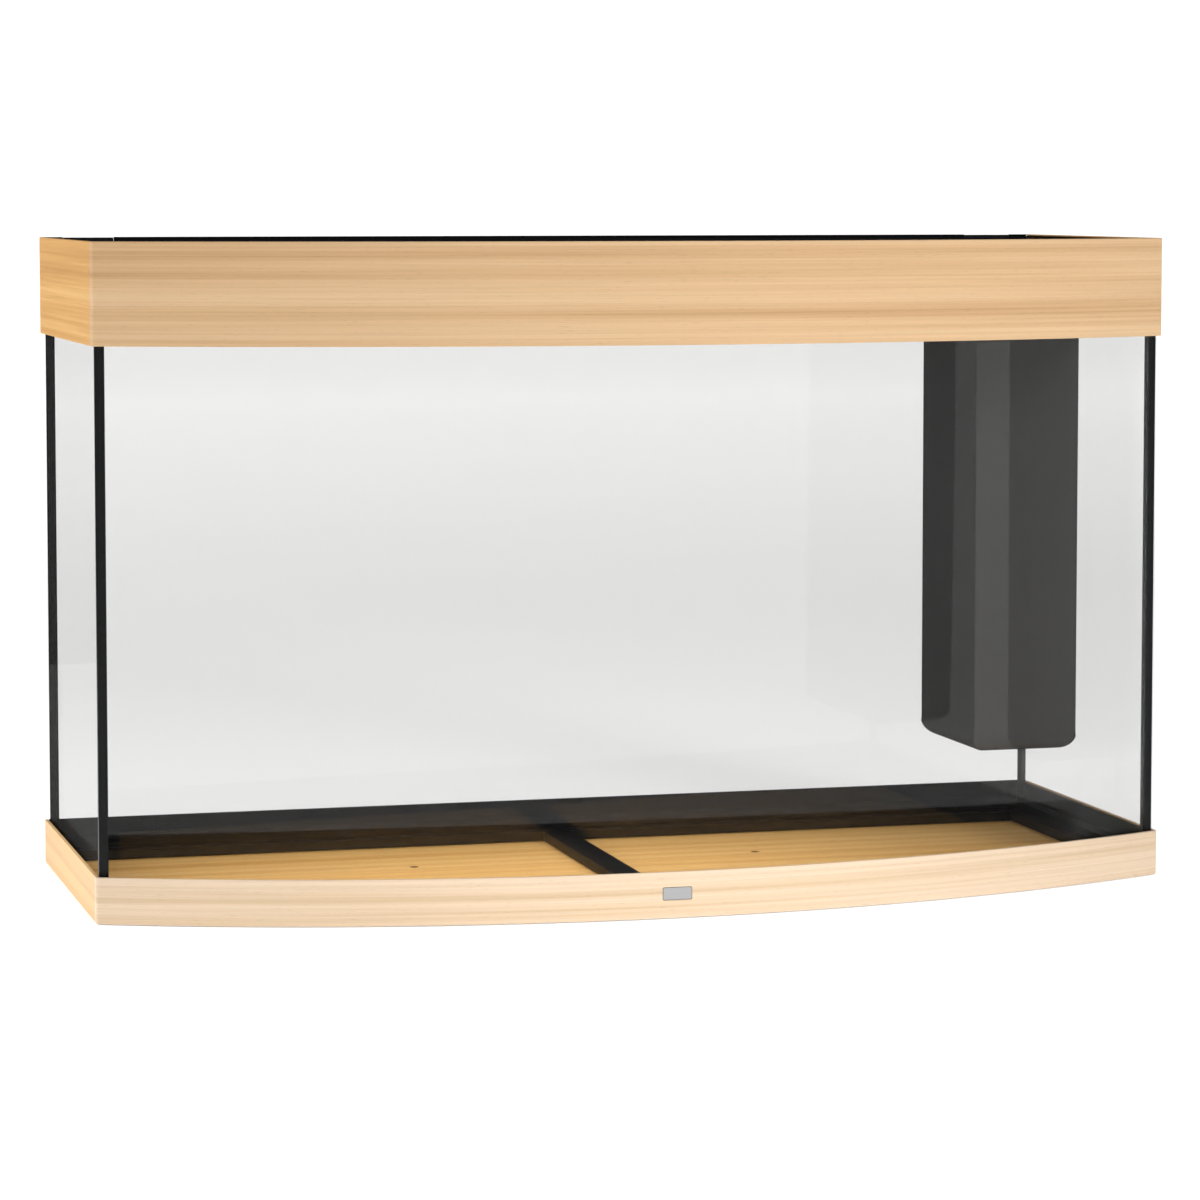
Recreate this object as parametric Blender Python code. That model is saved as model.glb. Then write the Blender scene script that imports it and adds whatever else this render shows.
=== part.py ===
"""A bow-front glass aquarium on its base frame, with a lift-out light bar, four hinged cover
flaps and an internal corner filter.

Metres, +Z up. The origin is at the middle of the underside, the bowed front faces -Y and the
filter stands in the back right corner. Every rail follows one plan outline, so a place on a rail
is given by its inset: how far it lies inside the outer face of the frame.
"""

import math

import bmesh
import bpy
from mathutils import Vector

MM = 0.001

# Driving dimensions of the whole object
WIDTH = 920 * MM
DEPTH = 410 * MM  # at the middle of the bow
BOW_RISE = 95 * MM  # how far the middle of the front stands ahead of its corners
HEIGHT = 550 * MM
BASE_HEIGHT = 38.4 * MM
BAND_HEIGHT = 83.7 * MM
GAP = 0.3 * MM  # between pieces that touch on the real object
MITRE_GAP = 0.25 * MM
BOW_STEPS = 32

# Plan outline
HALF = WIDTH / 2
BACK = DEPTH / 2
BOW_RADIUS = (HALF**2 + BOW_RISE**2) / (2 * BOW_RISE)
BOW_CENTRE_Y = -DEPTH / 2 + BOW_RADIUS

# Insets of the layers, from the outer face inwards
TRIM_INNER = 1.4 * MM  # decor skin
WALL_OUTER = TRIM_INNER + GAP  # plastic carrier behind the skin
WALL_INNER = 3.0 * MM
GLASS = 6 * MM
GLASS_OUTER = WALL_INNER + GAP
GLASS_INNER = GLASS_OUTER + GLASS
JOINT = 1.5 * MM  # silicone gap between two panes

# Base frame and tank floor
LEDGE_TOP = 12 * MM
BASE_LEDGE = 22 * MM
PANEL_REBATE = 16 * MM
PANEL_THICKNESS = 3.0 * MM
STRUT_HALF = 12 * MM
STRUT_FOOT_HALF = 6 * MM
PLUG_X, PLUG_Y, PLUG_RADIUS = 155.5 * MM, 80 * MM, 4 * MM
BADGE_HALF, BADGE_LOW, BADGE_HIGH = 12 * MM, 15.5 * MM, 25.5 * MM
FLOOR_LOW = LEDGE_TOP + GAP
FLOOR_HIGH = FLOOR_LOW + 8 * MM
BEAD = 4 * MM  # leg of the silicone fillet round the floor
CORNER_BEAD = 1.8 * MM  # leg of the thin fillets up the corners

# Cover band and its carrier
BAND_LOW = HEIGHT - BAND_HEIGHT
TRIM_LIP = 1.1 * MM
GLASS_TOP = 534 * MM
RIM_LEDGE_TOP = 538.3 * MM
RIM_LEDGE = 26 * MM
RIM_LIP_LOW = 520 * MM
RIM_RIB_LOW = 529 * MM
BRACE_HALF, BRACE_LOW, BRACE_HIGH = 50 * MM, 478 * MM, 484 * MM
CABLE_NEAR, CABLE_FAR = 395 * MM, 440 * MM  # cable outlets in the back, from the middle

# Light bar
BAR_FRONT, BAR_BACK = -37.6 * MM, 57.6 * MM
BAR_BODY_HALF = 430 * MM
COVER_HALF = 455 * MM  # flaps and bar reach this far from the middle
COVER_TOP = 547 * MM
BAR_LOW = 512.8 * MM
BAR_WALL = 2.5 * MM
TUBE_HALF, TUBE_RADIUS, TUBE_Z = 371 * MM, 8 * MM, 499 * MM
TUBE_YS = {"front": -11 * MM, "rear": 27 * MM}

# Hinges: rods lie along X, between lugs on the bar and knuckles on the flaps
HINGE_Z = 544 * MM
HINGE_YS = {"front": -42 * MM, "rear": 62 * MM}
ROD_RADIUS, KNUCKLE_RADIUS, KNUCKLE_BORE, LUG_BORE = 1.5 * MM, 3.0 * MM, 1.9 * MM, 1.8 * MM
KNUCKLE_SPANS = ((-430 * MM, -270 * MM), (-190 * MM, -30 * MM))
LUG_SPANS = ((-454.5 * MM, -430.5 * MM), (-269.5 * MM, -190.5 * MM), (-29.5 * MM, 29.5 * MM))
PLATE_EDGE = 3.4 * MM  # from the hinge axis to the edge of a flap's plate
PLATE = 2.5 * MM
SKIRT = 2.0 * MM
SKIRT_LOW = 538.8 * MM
FLAP_INSET = 5 * MM
MID_GAP = 0.75 * MM  # half the gap between a left and a right flap
GRIP_WIDTH, GRIP_DEPTH = 70 * MM, 14 * MM

# Internal filter, in the back right corner
FILTER_LEFT, FILTER_RIGHT = 350.5 * MM, 449.5 * MM
FILTER_FRONT, FILTER_BACK = 51 * MM, 189 * MM
FILTER_LOW, FILTER_HIGH = 88 * MM, 496 * MM
FILTER_WALL = 2.5 * MM
FILTER_ROUND = 15 * MM
DIVIDER_FRONT, DIVIDER_BACK = 88 * MM, 90.5 * MM
SPLITS = {"lower": (92.5 * MM, 268 * MM), "upper": (269 * MM, 446 * MM)}
PUMP_X, PUMP_Y = 402 * MM, 139 * MM
VOLUTE_LOW, VOLUTE_HIGH = 455 * MM, 476 * MM
MOTOR_HIGH = 512 * MM
OUTLET_Y, OUTLET_Z = 150 * MM, 467 * MM
HEATER_X, HEATER_Y = 376 * MM, 70.5 * MM


def finish(name, finish_rgb, roughness, metallic=0.0, alpha=1.0):
    """A Principled material."""
    made = bpy.data.materials.new(name)
    made.use_nodes = True
    shader = made.node_tree.nodes["Principled BSDF"]
    shader.inputs["Base Color"].default_value = (*finish_rgb, 1.0)
    shader.inputs["Roughness"].default_value = roughness
    shader.inputs["Metallic"].default_value = metallic
    shader.inputs["Alpha"].default_value = alpha
    return made


def mesh_object(name, corners, faces, material):
    """One object from corners and faces, with its normals pointing out."""
    mesh = bpy.data.meshes.new(name)
    shape = bmesh.new()
    made = [shape.verts.new(corner) for corner in corners]
    for face in faces:
        shape.faces.new([made[i] for i in face])
    bmesh.ops.recalc_face_normals(shape, faces=shape.faces)
    shape.to_mesh(mesh)
    shape.free()
    made_object = bpy.data.objects.new(name, mesh)
    made_object.data.materials.append(material)
    bpy.context.scene.collection.objects.link(made_object)
    return made_object


def round_shading(made_object):
    """Smooth sides with sharp rims, for a round piece."""
    made_object.data.shade_smooth()
    made_object.data.set_sharp_from_angle(angle=math.radians(40))
    return made_object


def rings_of(rings, closed):
    """Faces of a tube through rings of equal length; an open tube gets an end face at both ends."""
    count, size = len(rings), len(rings[0])
    corners = [corner for ring in rings for corner in ring]
    faces = []
    for i in range(count if closed else count - 1):
        here, there = i * size, (i + 1) % count * size
        for j in range(size):
            k = (j + 1) % size
            faces.append((here + j, here + k, there + k, there + j))
    if not closed:
        faces.append(tuple(range(size)))
        faces.append(tuple(range((count - 1) * size, count * size)))
    return corners, faces


def prism(name, outline, start, end, material, axis="Z"):
    """An outline in the plane across an axis, drawn along that axis from start to end."""

    def place(a, b, along):
        return {"X": (along, a, b), "Y": (a, along, b), "Z": (a, b, along)}[axis]

    rings = [[place(a, b, along) for a, b in outline] for along in (start, end)]
    return mesh_object(name, *rings_of(rings, closed=False), material)


def box(name, low, high, material):
    """An upright block between two corners."""
    outline = [(low[0], low[1]), (high[0], low[1]), (high[0], high[1]), (low[0], high[1])]
    return prism(name, outline, low[2], high[2], material)


def boxes(name, pairs, material):
    """Blocks that stand apart, in one object, for use as a cutter or as an addition."""
    parts = [box(name, low, high, material) for low, high in pairs]
    return joined(parts)


def joined(parts):
    """The first object, holding the meshes of all of them."""
    shape = bmesh.new()
    for part in parts:
        shape.from_mesh(part.data)
    shape.to_mesh(parts[0].data)
    shape.free()
    for part in parts[1:]:
        bpy.data.objects.remove(part)
    return parts[0]


def circle(centre, radius, steps=24, first=0.0, last=2 * math.pi):
    """Points round a circle, or along an arc of it with both ends."""
    whole = last - first > 2 * math.pi - 1e-9
    shares = range(steps) if whole else range(steps + 1)
    angles = [first + (last - first) * i / steps for i in shares]
    return [(centre[0] + radius * math.cos(a), centre[1] + radius * math.sin(a)) for a in angles]


def rod(name, centre, radius, start, end, material, axis="Z", steps=24):
    """A round bar along an axis."""
    return prism(name, circle(centre, radius, steps), start, end, material, axis)


def rounded(low, high, radii, steps=5):
    """A rectangle with its own radius at each corner: low-low, high-low, high-high, low-high."""
    signs = ((-1, -1), (1, -1), (1, 1), (-1, 1))
    outline = []
    for quarter, ((sx, sy), radius) in enumerate(zip(signs, radii)):
        corner = (high[0] if sx > 0 else low[0], high[1] if sy > 0 else low[1])
        if radius == 0:
            outline.append(corner)
            continue
        centre = (corner[0] - sx * radius, corner[1] - sy * radius)
        first = math.pi + quarter * math.pi / 2
        outline += circle(centre, radius, steps, first, first + math.pi / 2)
    return outline


def combine(target, other, operation):
    """A Boolean with another object, which is then only a helper."""
    modifier = target.modifiers.new(f"{operation.lower()} {other.name}", "BOOLEAN")
    modifier.operation = operation
    modifier.solver = "EXACT"
    modifier.object = other
    other.hide_render = True
    other.display_type = "WIRE"
    return target


def cut(target, other):
    return combine(target, other, "DIFFERENCE")


def add(target, other):
    return combine(target, other, "UNION")


def bow_y(x, inset):
    """Y of the bowed front at this X, on the curve that lies inset behind the outer face."""
    return BOW_CENTRE_Y - math.sqrt((BOW_RADIUS - inset) ** 2 - x**2)


def bow_points(half, inset, steps=BOW_STEPS, first=-1.0, last=1.0):
    """Points along the bow from left to right, out to this half width."""
    xs = [half * (first + (last - first) * i / steps) for i in range(steps + 1)]
    return [(x, bow_y(x, inset)) for x in xs]


def rail_path(side, inset, gap):
    """Plan points of one side's rail at this inset, stopping short of each mitre by the gap."""
    reach = HALF - inset
    if side == "front":
        return bow_points(reach - gap, inset)
    if side == "back":
        return [(reach - gap, BACK - inset), (gap - reach, BACK - inset)]
    x = reach if side == "right" else -reach
    return [(x, bow_y(x, inset) + gap), (x, BACK - inset - gap)]


def rail(name, side, profile, material):
    """A mitred rail: a profile of (inset, z) points carried along one side of the plan."""
    paths = [rail_path(side, inset, MITRE_GAP) for inset, z in profile]
    rings = [
        [(*path[i], z) for path, (inset, z) in zip(paths, profile)] for i in range(len(paths[0]))
    ]
    return mesh_object(name, *rings_of(rings, closed=False), material)


def hoop(name, profile, material):
    """A closed ring: a profile of (inset, z) points carried round the whole plan."""
    paths = []
    for inset, z in profile:
        reach = HALF - inset
        ends = [(reach, BACK - inset), (-reach, BACK - inset)]
        paths.append(bow_points(reach, inset) + ends)
    rings = [
        [(*path[i], z) for path, (inset, z) in zip(paths, profile)] for i in range(len(paths[0]))
    ]
    return mesh_object(name, *rings_of(rings, closed=True), material)


SIDES = ("front", "back", "left", "right")


def base_frame():
    """Four L-shaped plastic rails that carry the glass, with a strut across the middle."""
    profile = [
        (WALL_OUTER, 0),
        (PANEL_REBATE, 0),
        (PANEL_REBATE, PANEL_THICKNESS + 2 * GAP),
        (BASE_LEDGE, PANEL_THICKNESS + 2 * GAP),
        (BASE_LEDGE, LEDGE_TOP),
        (WALL_INNER, LEDGE_TOP),
        (WALL_INNER, BASE_HEIGHT - TRIM_LIP - GAP),
        (WALL_OUTER, BASE_HEIGHT - TRIM_LIP - GAP),
    ]
    for side in SIDES:
        rail(f"base_rail_{side}", side, profile, BLACK)
    rebate = PANEL_THICKNESS + 2 * GAP
    section = [
        (-STRUT_FOOT_HALF, 0),
        (STRUT_FOOT_HALF, 0),
        (STRUT_FOOT_HALF, rebate),
        (STRUT_HALF, rebate),
        (STRUT_HALF, LEDGE_TOP),
        (-STRUT_HALF, LEDGE_TOP),
        (-STRUT_HALF, rebate),
        (-STRUT_FOOT_HALF, rebate),
    ]
    near = bow_y(0, BASE_LEDGE) + 2 * GAP
    prism("base_strut", section, near, BACK - BASE_LEDGE - GAP, BLACK, axis="Y")


def base_trims():
    """Strips that cover the base rails and lap over their top edge, wood decor but at the back."""
    lip = BASE_HEIGHT - TRIM_LIP
    low = 0.5 * MM
    profile = [
        (0, low),
        (TRIM_INNER, low),
        (TRIM_INNER, lip),
        (WALL_INNER, lip),
        (WALL_INNER, BASE_HEIGHT),
        (0, BASE_HEIGHT),
    ]
    trims = {side: rail(f"base_trim_{side}", side, profile, TRIM[side]) for side in SIDES}
    window = box(
        "badge_window",
        (-BADGE_HALF - GAP, -BACK - MM, BADGE_LOW - GAP),
        (BADGE_HALF + GAP, -BACK + TRIM_INNER + GAP, BADGE_HIGH + GAP),
        DECOR,
    )
    cut(trims["front"], window)
    face = bow_points(BADGE_HALF, 0.05 * MM, steps=4)
    back = bow_points(BADGE_HALF, 1.2 * MM, steps=4)
    prism("badge", face + back[::-1], BADGE_LOW, BADGE_HIGH, SILVER)


def base_panels():
    """Thin decor boards that lie under the tank floor, one on each side of the strut."""
    inset = PANEL_REBATE + GAP
    reach = HALF - inset
    inner = STRUT_FOOT_HALF + GAP
    for sign, side in ((-1, "left"), (1, "right")):
        front = bow_points(sign * reach, inset, 16, inner / reach, 1.0)
        outline = front + [(sign * reach, BACK - inset), (sign * inner, BACK - inset)]
        panel = prism(f"base_panel_{side}", outline, 0, PANEL_THICKNESS, DECOR)
        centre = (sign * PLUG_X, PLUG_Y)
        hole = rod(f"plug_hole_{side}", centre, PLUG_RADIUS + GAP, -MM, 5 * MM, DECOR)
        cut(panel, hole)
        rod(f"panel_plug_{side}", centre, PLUG_RADIUS, 0.4 * MM, 2.8 * MM, BLACK)


def glass_tank():
    """Five panes: the front and back run the full width, and the sides stand between them."""
    edge = HALF - GLASS_OUTER
    outer = bow_points(edge, GLASS_OUTER)
    inner = bow_points(edge, GLASS_INNER)
    prism("glass_front", outer + inner[::-1], FLOOR_LOW, GLASS_TOP, CLEAR)
    box("glass_back", (-edge, BACK - GLASS_INNER, FLOOR_LOW), (edge, BACK - GLASS_OUTER, GLASS_TOP), CLEAR)
    near = bow_y(edge, GLASS_INNER) + JOINT
    far = BACK - GLASS_INNER - JOINT
    box("glass_left", (-edge, near, FLOOR_LOW), (GLASS - edge, far, GLASS_TOP), CLEAR)
    box("glass_right", (edge - GLASS, near, FLOOR_LOW), (edge, far, GLASS_TOP), CLEAR)
    inset = GLASS_INNER + JOINT
    reach = HALF - inset
    floor = bow_points(reach, inset) + [(reach, BACK - inset), (-reach, BACK - inset)]
    prism("glass_floor", floor, FLOOR_LOW, FLOOR_HIGH, CLEAR)
    brace = bow_points(BRACE_HALF, inset, 6) + [(BRACE_HALF, far), (-BRACE_HALF, far)]
    prism("glass_brace", brace, BRACE_LOW, BRACE_HIGH, CLEAR)


def silicone_seams():
    """Black joints: a bead round the floor and one up each corner."""
    profile = [
        (GLASS_INNER + GAP, FLOOR_LOW + GAP),
        (GLASS_INNER + JOINT - GAP, FLOOR_LOW + GAP),
        (GLASS_INNER + JOINT - GAP, FLOOR_HIGH + GAP),
        (GLASS_INNER + BEAD, FLOOR_HIGH + GAP),
        (GLASS_INNER + GAP, FLOOR_HIGH + BEAD),
    ]
    hoop("seam_floor", profile, SILICONE)
    low, high = FLOOR_HIGH + BEAD + GAP, RIM_LIP_LOW - GAP
    edge = HALF - GLASS_OUTER
    face = edge - GLASS
    near = bow_y(edge, GLASS_INNER) + JOINT
    far = BACK - GLASS_INNER - JOINT
    for sign, side in ((-1, "left"), (1, "right")):
        front = [
            (sign * edge, bow_y(edge, GLASS_INNER) + GAP),
            (sign * (face - CORNER_BEAD), bow_y(face - CORNER_BEAD, GLASS_INNER) + GAP),
            (sign * (face - GAP), near + CORNER_BEAD),
            (sign * (face - GAP), near - GAP),
            (sign * edge, near - GAP),
        ]
        prism(f"seam_front_{side}", front, low, high, SILICONE)
        back = [
            (sign * edge, far + GAP),
            (sign * (face - GAP), far + GAP),
            (sign * (face - GAP), far - CORNER_BEAD),
            (sign * (face - CORNER_BEAD), BACK - GLASS_INNER - GAP),
            (sign * edge, BACK - GLASS_INNER - GAP),
        ]
        prism(f"seam_back_{side}", back, low, high, SILICONE)


def cable_cutters(name, near, far, low):
    """Cutters for the two cable outlets at the back."""
    pairs = [
        ((sign * CABLE_NEAR, near, low), (sign * CABLE_FAR, far, HEIGHT + MM)) for sign in (-1, 1)
    ]
    ordered = [
        (tuple(map(min, low_end, high_end)), tuple(map(max, low_end, high_end)))
        for low_end, high_end in pairs
    ]
    return boxes(name, ordered, BLACK)


def cover_frame():
    """Plastic rails that sit on the glass and carry the flaps, and the band that covers them."""
    flange = GLASS_TOP + GAP
    carrier = [
        (WALL_OUTER, BAND_LOW + TRIM_LIP + GAP),
        (WALL_INNER, BAND_LOW + TRIM_LIP + GAP),
        (WALL_INNER, flange),
        (GLASS_INNER + GAP, flange),
        (GLASS_INNER + GAP, RIM_LIP_LOW),
        (GLASS_INNER + 2.8 * MM, RIM_LIP_LOW),
        (GLASS_INNER + 2.8 * MM, flange),
        (RIM_LEDGE - 2 * MM, flange),
        (RIM_LEDGE - 2 * MM, RIM_RIB_LOW),
        (RIM_LEDGE, RIM_RIB_LOW),
        (RIM_LEDGE, RIM_LEDGE_TOP),
        (WALL_INNER, RIM_LEDGE_TOP),
        (WALL_INNER, HEIGHT - TRIM_LIP - GAP),
        (WALL_OUTER, HEIGHT - TRIM_LIP - GAP),
    ]
    band = [
        (0, BAND_LOW),
        (WALL_INNER, BAND_LOW),
        (WALL_INNER, BAND_LOW + TRIM_LIP),
        (TRIM_INNER, BAND_LOW + TRIM_LIP),
        (TRIM_INNER, HEIGHT - TRIM_LIP),
        (WALL_INNER, HEIGHT - TRIM_LIP),
        (WALL_INNER, HEIGHT),
        (0, HEIGHT),
    ]
    rails = {side: rail(f"cover_rail_{side}", side, carrier, BLACK) for side in SIDES}
    trims = {side: rail(f"cover_trim_{side}", side, band, TRIM[side]) for side in SIDES}
    outlets = cable_cutters("outlet_cutter", BACK - 3.5 * MM, BACK + MM, RIM_LEDGE_TOP + 0.2 * MM)
    cut(rails["back"], outlets)
    cut(trims["back"], outlets)


def eye(centre_y, side_sign, top_reach):
    """Outline in Y and Z of a hinge eye with an arm: a lug's arm lies low, a knuckle's high."""
    y, z, r = centre_y, HINGE_Z, KNUCKLE_RADIUS
    if side_sign * top_reach > 0:  # a lug: its arm runs to the bar, below the eye's top
        arm_top = 1.0 * MM
        angle = math.asin(arm_top / r)
        arc = circle((0, 0), r, 14, angle, 1.5 * math.pi)
        outline = [(5 * MM, -r), (5 * MM, arm_top), *arc]
        return [(y + side_sign * a, z + b) for a, b in outline]
    arm_low = COVER_TOP - PLATE - HINGE_Z
    angle = math.asin(arm_low / r)
    arc = circle((0, 0), r, 14, math.pi - angle - 2 * math.pi, math.pi / 2)
    reach = -PLATE_EDGE - 0.8 * MM
    outline = [(reach, arm_low), *arc, (reach, r)]
    return [(y + side_sign * a, z + b) for a, b in outline]


def light_bar():
    """The bar that lies across the tank: housing, bottom cover, lamp ends, tubes and driver."""
    housing = box(
        "light_bar_housing",
        (-BAR_BODY_HALF, BAR_FRONT, BAR_LOW),
        (BAR_BODY_HALF, BAR_BACK, COVER_TOP),
        BLACK,
    )
    inside = box(
        "housing_hollow",
        (BAR_WALL - BAR_BODY_HALF, BAR_FRONT + BAR_WALL, BAR_LOW - MM),
        (BAR_BODY_HALF - BAR_WALL, BAR_BACK - BAR_WALL, COVER_TOP - BAR_WALL),
        BLACK,
    )
    tabs = boxes(
        "housing_tabs",
        [
            ((-COVER_HALF, BAR_FRONT, RIM_LEDGE_TOP + GAP), (MM - BAR_BODY_HALF, BAR_BACK, COVER_TOP)),
            ((BAR_BODY_HALF - MM, BAR_FRONT, RIM_LEDGE_TOP + GAP), (COVER_HALF, BAR_BACK, COVER_TOP)),
        ],
        BLACK,
    )
    cut(housing, inside)
    add(housing, tabs)
    spans = [*LUG_SPANS, *((-high, -low) for low, high in LUG_SPANS[:2])]
    for place, towards_bar in (("front", 1), ("rear", -1)):
        y = HINGE_YS[place]
        outline = eye(y, towards_bar, towards_bar)
        lugs = [prism(f"lugs_{place}", outline, *span, BLACK, axis="X") for span in spans]
        add(housing, joined(lugs))
        reach = COVER_HALF + MM
        cut(housing, rod(f"lug_bore_{place}", (y, HINGE_Z), LUG_BORE, -reach, reach, BLACK, "X", 16))
        ends = 452 * MM
        rod(f"hinge_rod_{place}", (y, HINGE_Z), ROD_RADIUS, -ends, ends, STEEL, "X", 12)
    cable_y, cable_z = 10 * MM, 531 * MM
    gland_hole = rod("gland_hole", (cable_y, cable_z), 5.3 * MM, 425 * MM, 431 * MM, BLACK, "X", 16)
    cut(housing, gland_hole)
    light_gland(cable_y, cable_z)
    lid_low = BAR_LOW - GAP - BAR_WALL
    box(
        "light_bar_cover",
        (-BAR_BODY_HALF, BAR_FRONT, lid_low),
        (BAR_BODY_HALF, BAR_BACK, BAR_LOW - GAP),
        BLACK,
    )
    box("led_driver", (-125 * MM, -15 * MM, BAR_LOW), (125 * MM, 35 * MM, 537 * MM), GREY)
    lamp_ends(lid_low - GAP)


def light_gland(y, z):
    """The flanged gland where the lamp's lead leaves the end of the housing."""
    gland = rod("light_cable_gland", (y, z), 5 * MM, 422 * MM, 434 * MM, RUBBER, "X", 16)
    flange = rod("gland_flange", (y, z), 7 * MM, 430.3 * MM, 432.3 * MM, RUBBER, "X", 16)
    nut = rod("gland_nut", (y, z), 7 * MM, 423 * MM, 427.2 * MM, RUBBER, "X", 6)
    bore = rod("gland_bore", (y, z), 2.6 * MM, 420 * MM, 436 * MM, RUBBER, "X", 12)
    add(gland, flange)
    add(gland, nut)
    cut(gland, bore)


def lamp_ends(top):
    """A socket block at each end of the bar, and the two tubes that they hold."""
    near, far = TUBE_HALF - 19 * MM, TUBE_HALF + 9 * MM
    for sign, side in ((-1, "left"), (1, "right")):
        x0, x1 = sorted((sign * near, sign * far))
        outline = rounded((-27 * MM, 486 * MM), (43 * MM, top), (8 * MM, 8 * MM, 0, 0), 4)
        block = prism(f"lamp_socket_{side}", outline, x0, x1, BLACK, axis="X")
        for place, y in TUBE_YS.items():
            b0, b1 = sorted((sign * (near - MM), sign * (TUBE_HALF + MM)))
            name = f"socket_bore_{place}_{side}"
            cut(block, rod(name, (y, TUBE_Z), TUBE_RADIUS + 0.4 * MM, b0, b1, BLACK, "X", 20))
    for place, y in TUBE_YS.items():
        tube = rod(f"led_tube_{place}", (y, TUBE_Z), TUBE_RADIUS, -TUBE_HALF, TUBE_HALF, OPAL, "X", 20)
        round_shading(tube)


def flap(side, place, edge, skirt, grip):
    """One cover flap: a plate on a skirt, with a grip or cable notch and two hinge knuckles."""
    sign = -1 if side == "left" else 1
    towards_bar = 1 if place == "front" else -1
    name = f"flap_{place}_{side}"
    made = prism(name, edge, COVER_TOP - PLATE, COVER_TOP, BLACK)
    add(made, prism(f"skirt_{place}_{side}", skirt, SKIRT_LOW, COVER_TOP - PLATE + 0.5 * MM, BLACK))
    y = HINGE_YS[place]
    outline = eye(y, towards_bar, -towards_bar)
    spans = [tuple(sorted((-sign * low, -sign * high))) for low, high in KNUCKLE_SPANS]
    knuckles = [prism(f"knuckles_{place}_{side}", outline, *span, BLACK, axis="X") for span in spans]
    add(made, joined(knuckles))
    x0, x1 = sorted((0, sign * COVER_HALF))
    cut(made, rod(f"knuckle_bore_{place}_{side}", (y, HINGE_Z), KNUCKLE_BORE, x0, x1, BLACK, "X", 16))
    cut(made, prism(f"notch_{place}_{side}", grip, SKIRT_LOW - MM, COVER_TOP + MM, BLACK))


def flaps():
    """Two front flaps that follow the bow and two straight rear flaps."""
    middle = COVER_HALF / 2
    for sign, side in ((-1, "left"), (1, "right")):
        inner, outer = sign * MID_GAP, sign * COVER_HALF
        hinge = HINGE_YS["front"] - PLATE_EDGE
        share = MID_GAP / COVER_HALF
        bow = bow_points(outer, FLAP_INSET, 16, share, 1.0)
        edge = [(inner, hinge), *bow, (outer, hinge)]
        reach = outer - sign * SKIRT
        inside = bow_points(reach, FLAP_INSET + SKIRT, 16, (MID_GAP + SKIRT) / abs(reach), 1.0)
        in_wall = inner + sign * SKIRT
        skirt = [(inner, hinge), *bow, (outer, hinge), (reach, hinge), *inside[::-1], (in_wall, hinge)]
        x0, x1 = sign * middle - GRIP_WIDTH / 2, sign * middle + GRIP_WIDTH / 2
        y = bow_y(middle, FLAP_INSET)
        grip = rounded((x0, y - GRIP_DEPTH), (x1, y + GRIP_DEPTH), (0, 0, 8 * MM, 8 * MM))
        flap(side, "front", edge, skirt, grip)

        hinge = HINGE_YS["rear"] + PLATE_EDGE
        rim = BACK - FLAP_INSET
        edge = [(inner, hinge), (outer, hinge), (outer, rim), (inner, rim)]
        skirt = [
            (inner, hinge), (in_wall, hinge), (in_wall, rim - SKIRT), (reach, rim - SKIRT),
            (reach, hinge), (outer, hinge), (outer, rim), (inner, rim),
        ]
        x0, x1 = sorted((sign * CABLE_NEAR, sign * CABLE_FAR))
        notch = rounded((x0, rim - GRIP_DEPTH), (x1, rim + GRIP_DEPTH), (8 * MM, 8 * MM, 0, 0))
        flap(side, "rear", edge, skirt, notch)


def filter_block(name, wall, high):
    """The filter's outer shape, or its hollow when wall is more than zero, with rounded lower edges."""
    low_z = FILTER_LOW + wall
    radii = (FILTER_ROUND - wall, FILTER_ROUND - wall, 0, 0)
    across = rounded((FILTER_LEFT + wall, low_z), (FILTER_RIGHT - wall, high), radii, 6)
    along = rounded((FILTER_FRONT + wall, low_z), (FILTER_BACK - wall, high), radii, 6)
    block = prism(name, across, FILTER_FRONT + wall, FILTER_BACK - wall, BLACK, axis="Y")
    limit = prism(f"{name}_sides", along, FILTER_LEFT - MM, FILTER_RIGHT + MM, BLACK, axis="X")
    return combine(block, limit, "INTERSECT")


def filter_box():
    """The open-topped case in the corner, with a divider, inlet slots and the outlet's hole."""
    case = filter_block("filter_box", 0, FILTER_HIGH)
    cut(case, filter_block("filter_hollow", FILTER_WALL, FILTER_HIGH + MM))
    divider = box(
        "filter_divider",
        (FILTER_LEFT + MM, DIVIDER_FRONT, 150 * MM),
        (FILTER_RIGHT - MM, DIVIDER_BACK, 480 * MM),
        BLACK,
    )
    add(case, divider)
    pitch, slot_half = 11 * MM, 2.2 * MM
    middle = (FILTER_LEFT + FILTER_RIGHT) / 2
    centres = [middle + pitch * step for step in range(-3, 4)]
    upper = [
        ((x - slot_half, FILTER_FRONT - MM, 460 * MM), (x + slot_half, FILTER_FRONT + 4 * MM, 486 * MM))
        for x in centres
    ]
    lower = [
        ((x - slot_half, 68 * MM, FILTER_LOW - MM), (x + slot_half, 84 * MM, FILTER_LOW + 4 * MM))
        for x in centres[1:-1]
    ]
    cut(case, boxes("inlet_slots", upper + lower, BLACK))
    hole = rod(
        "outlet_hole", (OUTLET_Y, OUTLET_Z), 9 * MM, FILTER_LEFT - MM, FILTER_LEFT + 4 * MM, BLACK, "X"
    )
    cut(case, hole)


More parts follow.
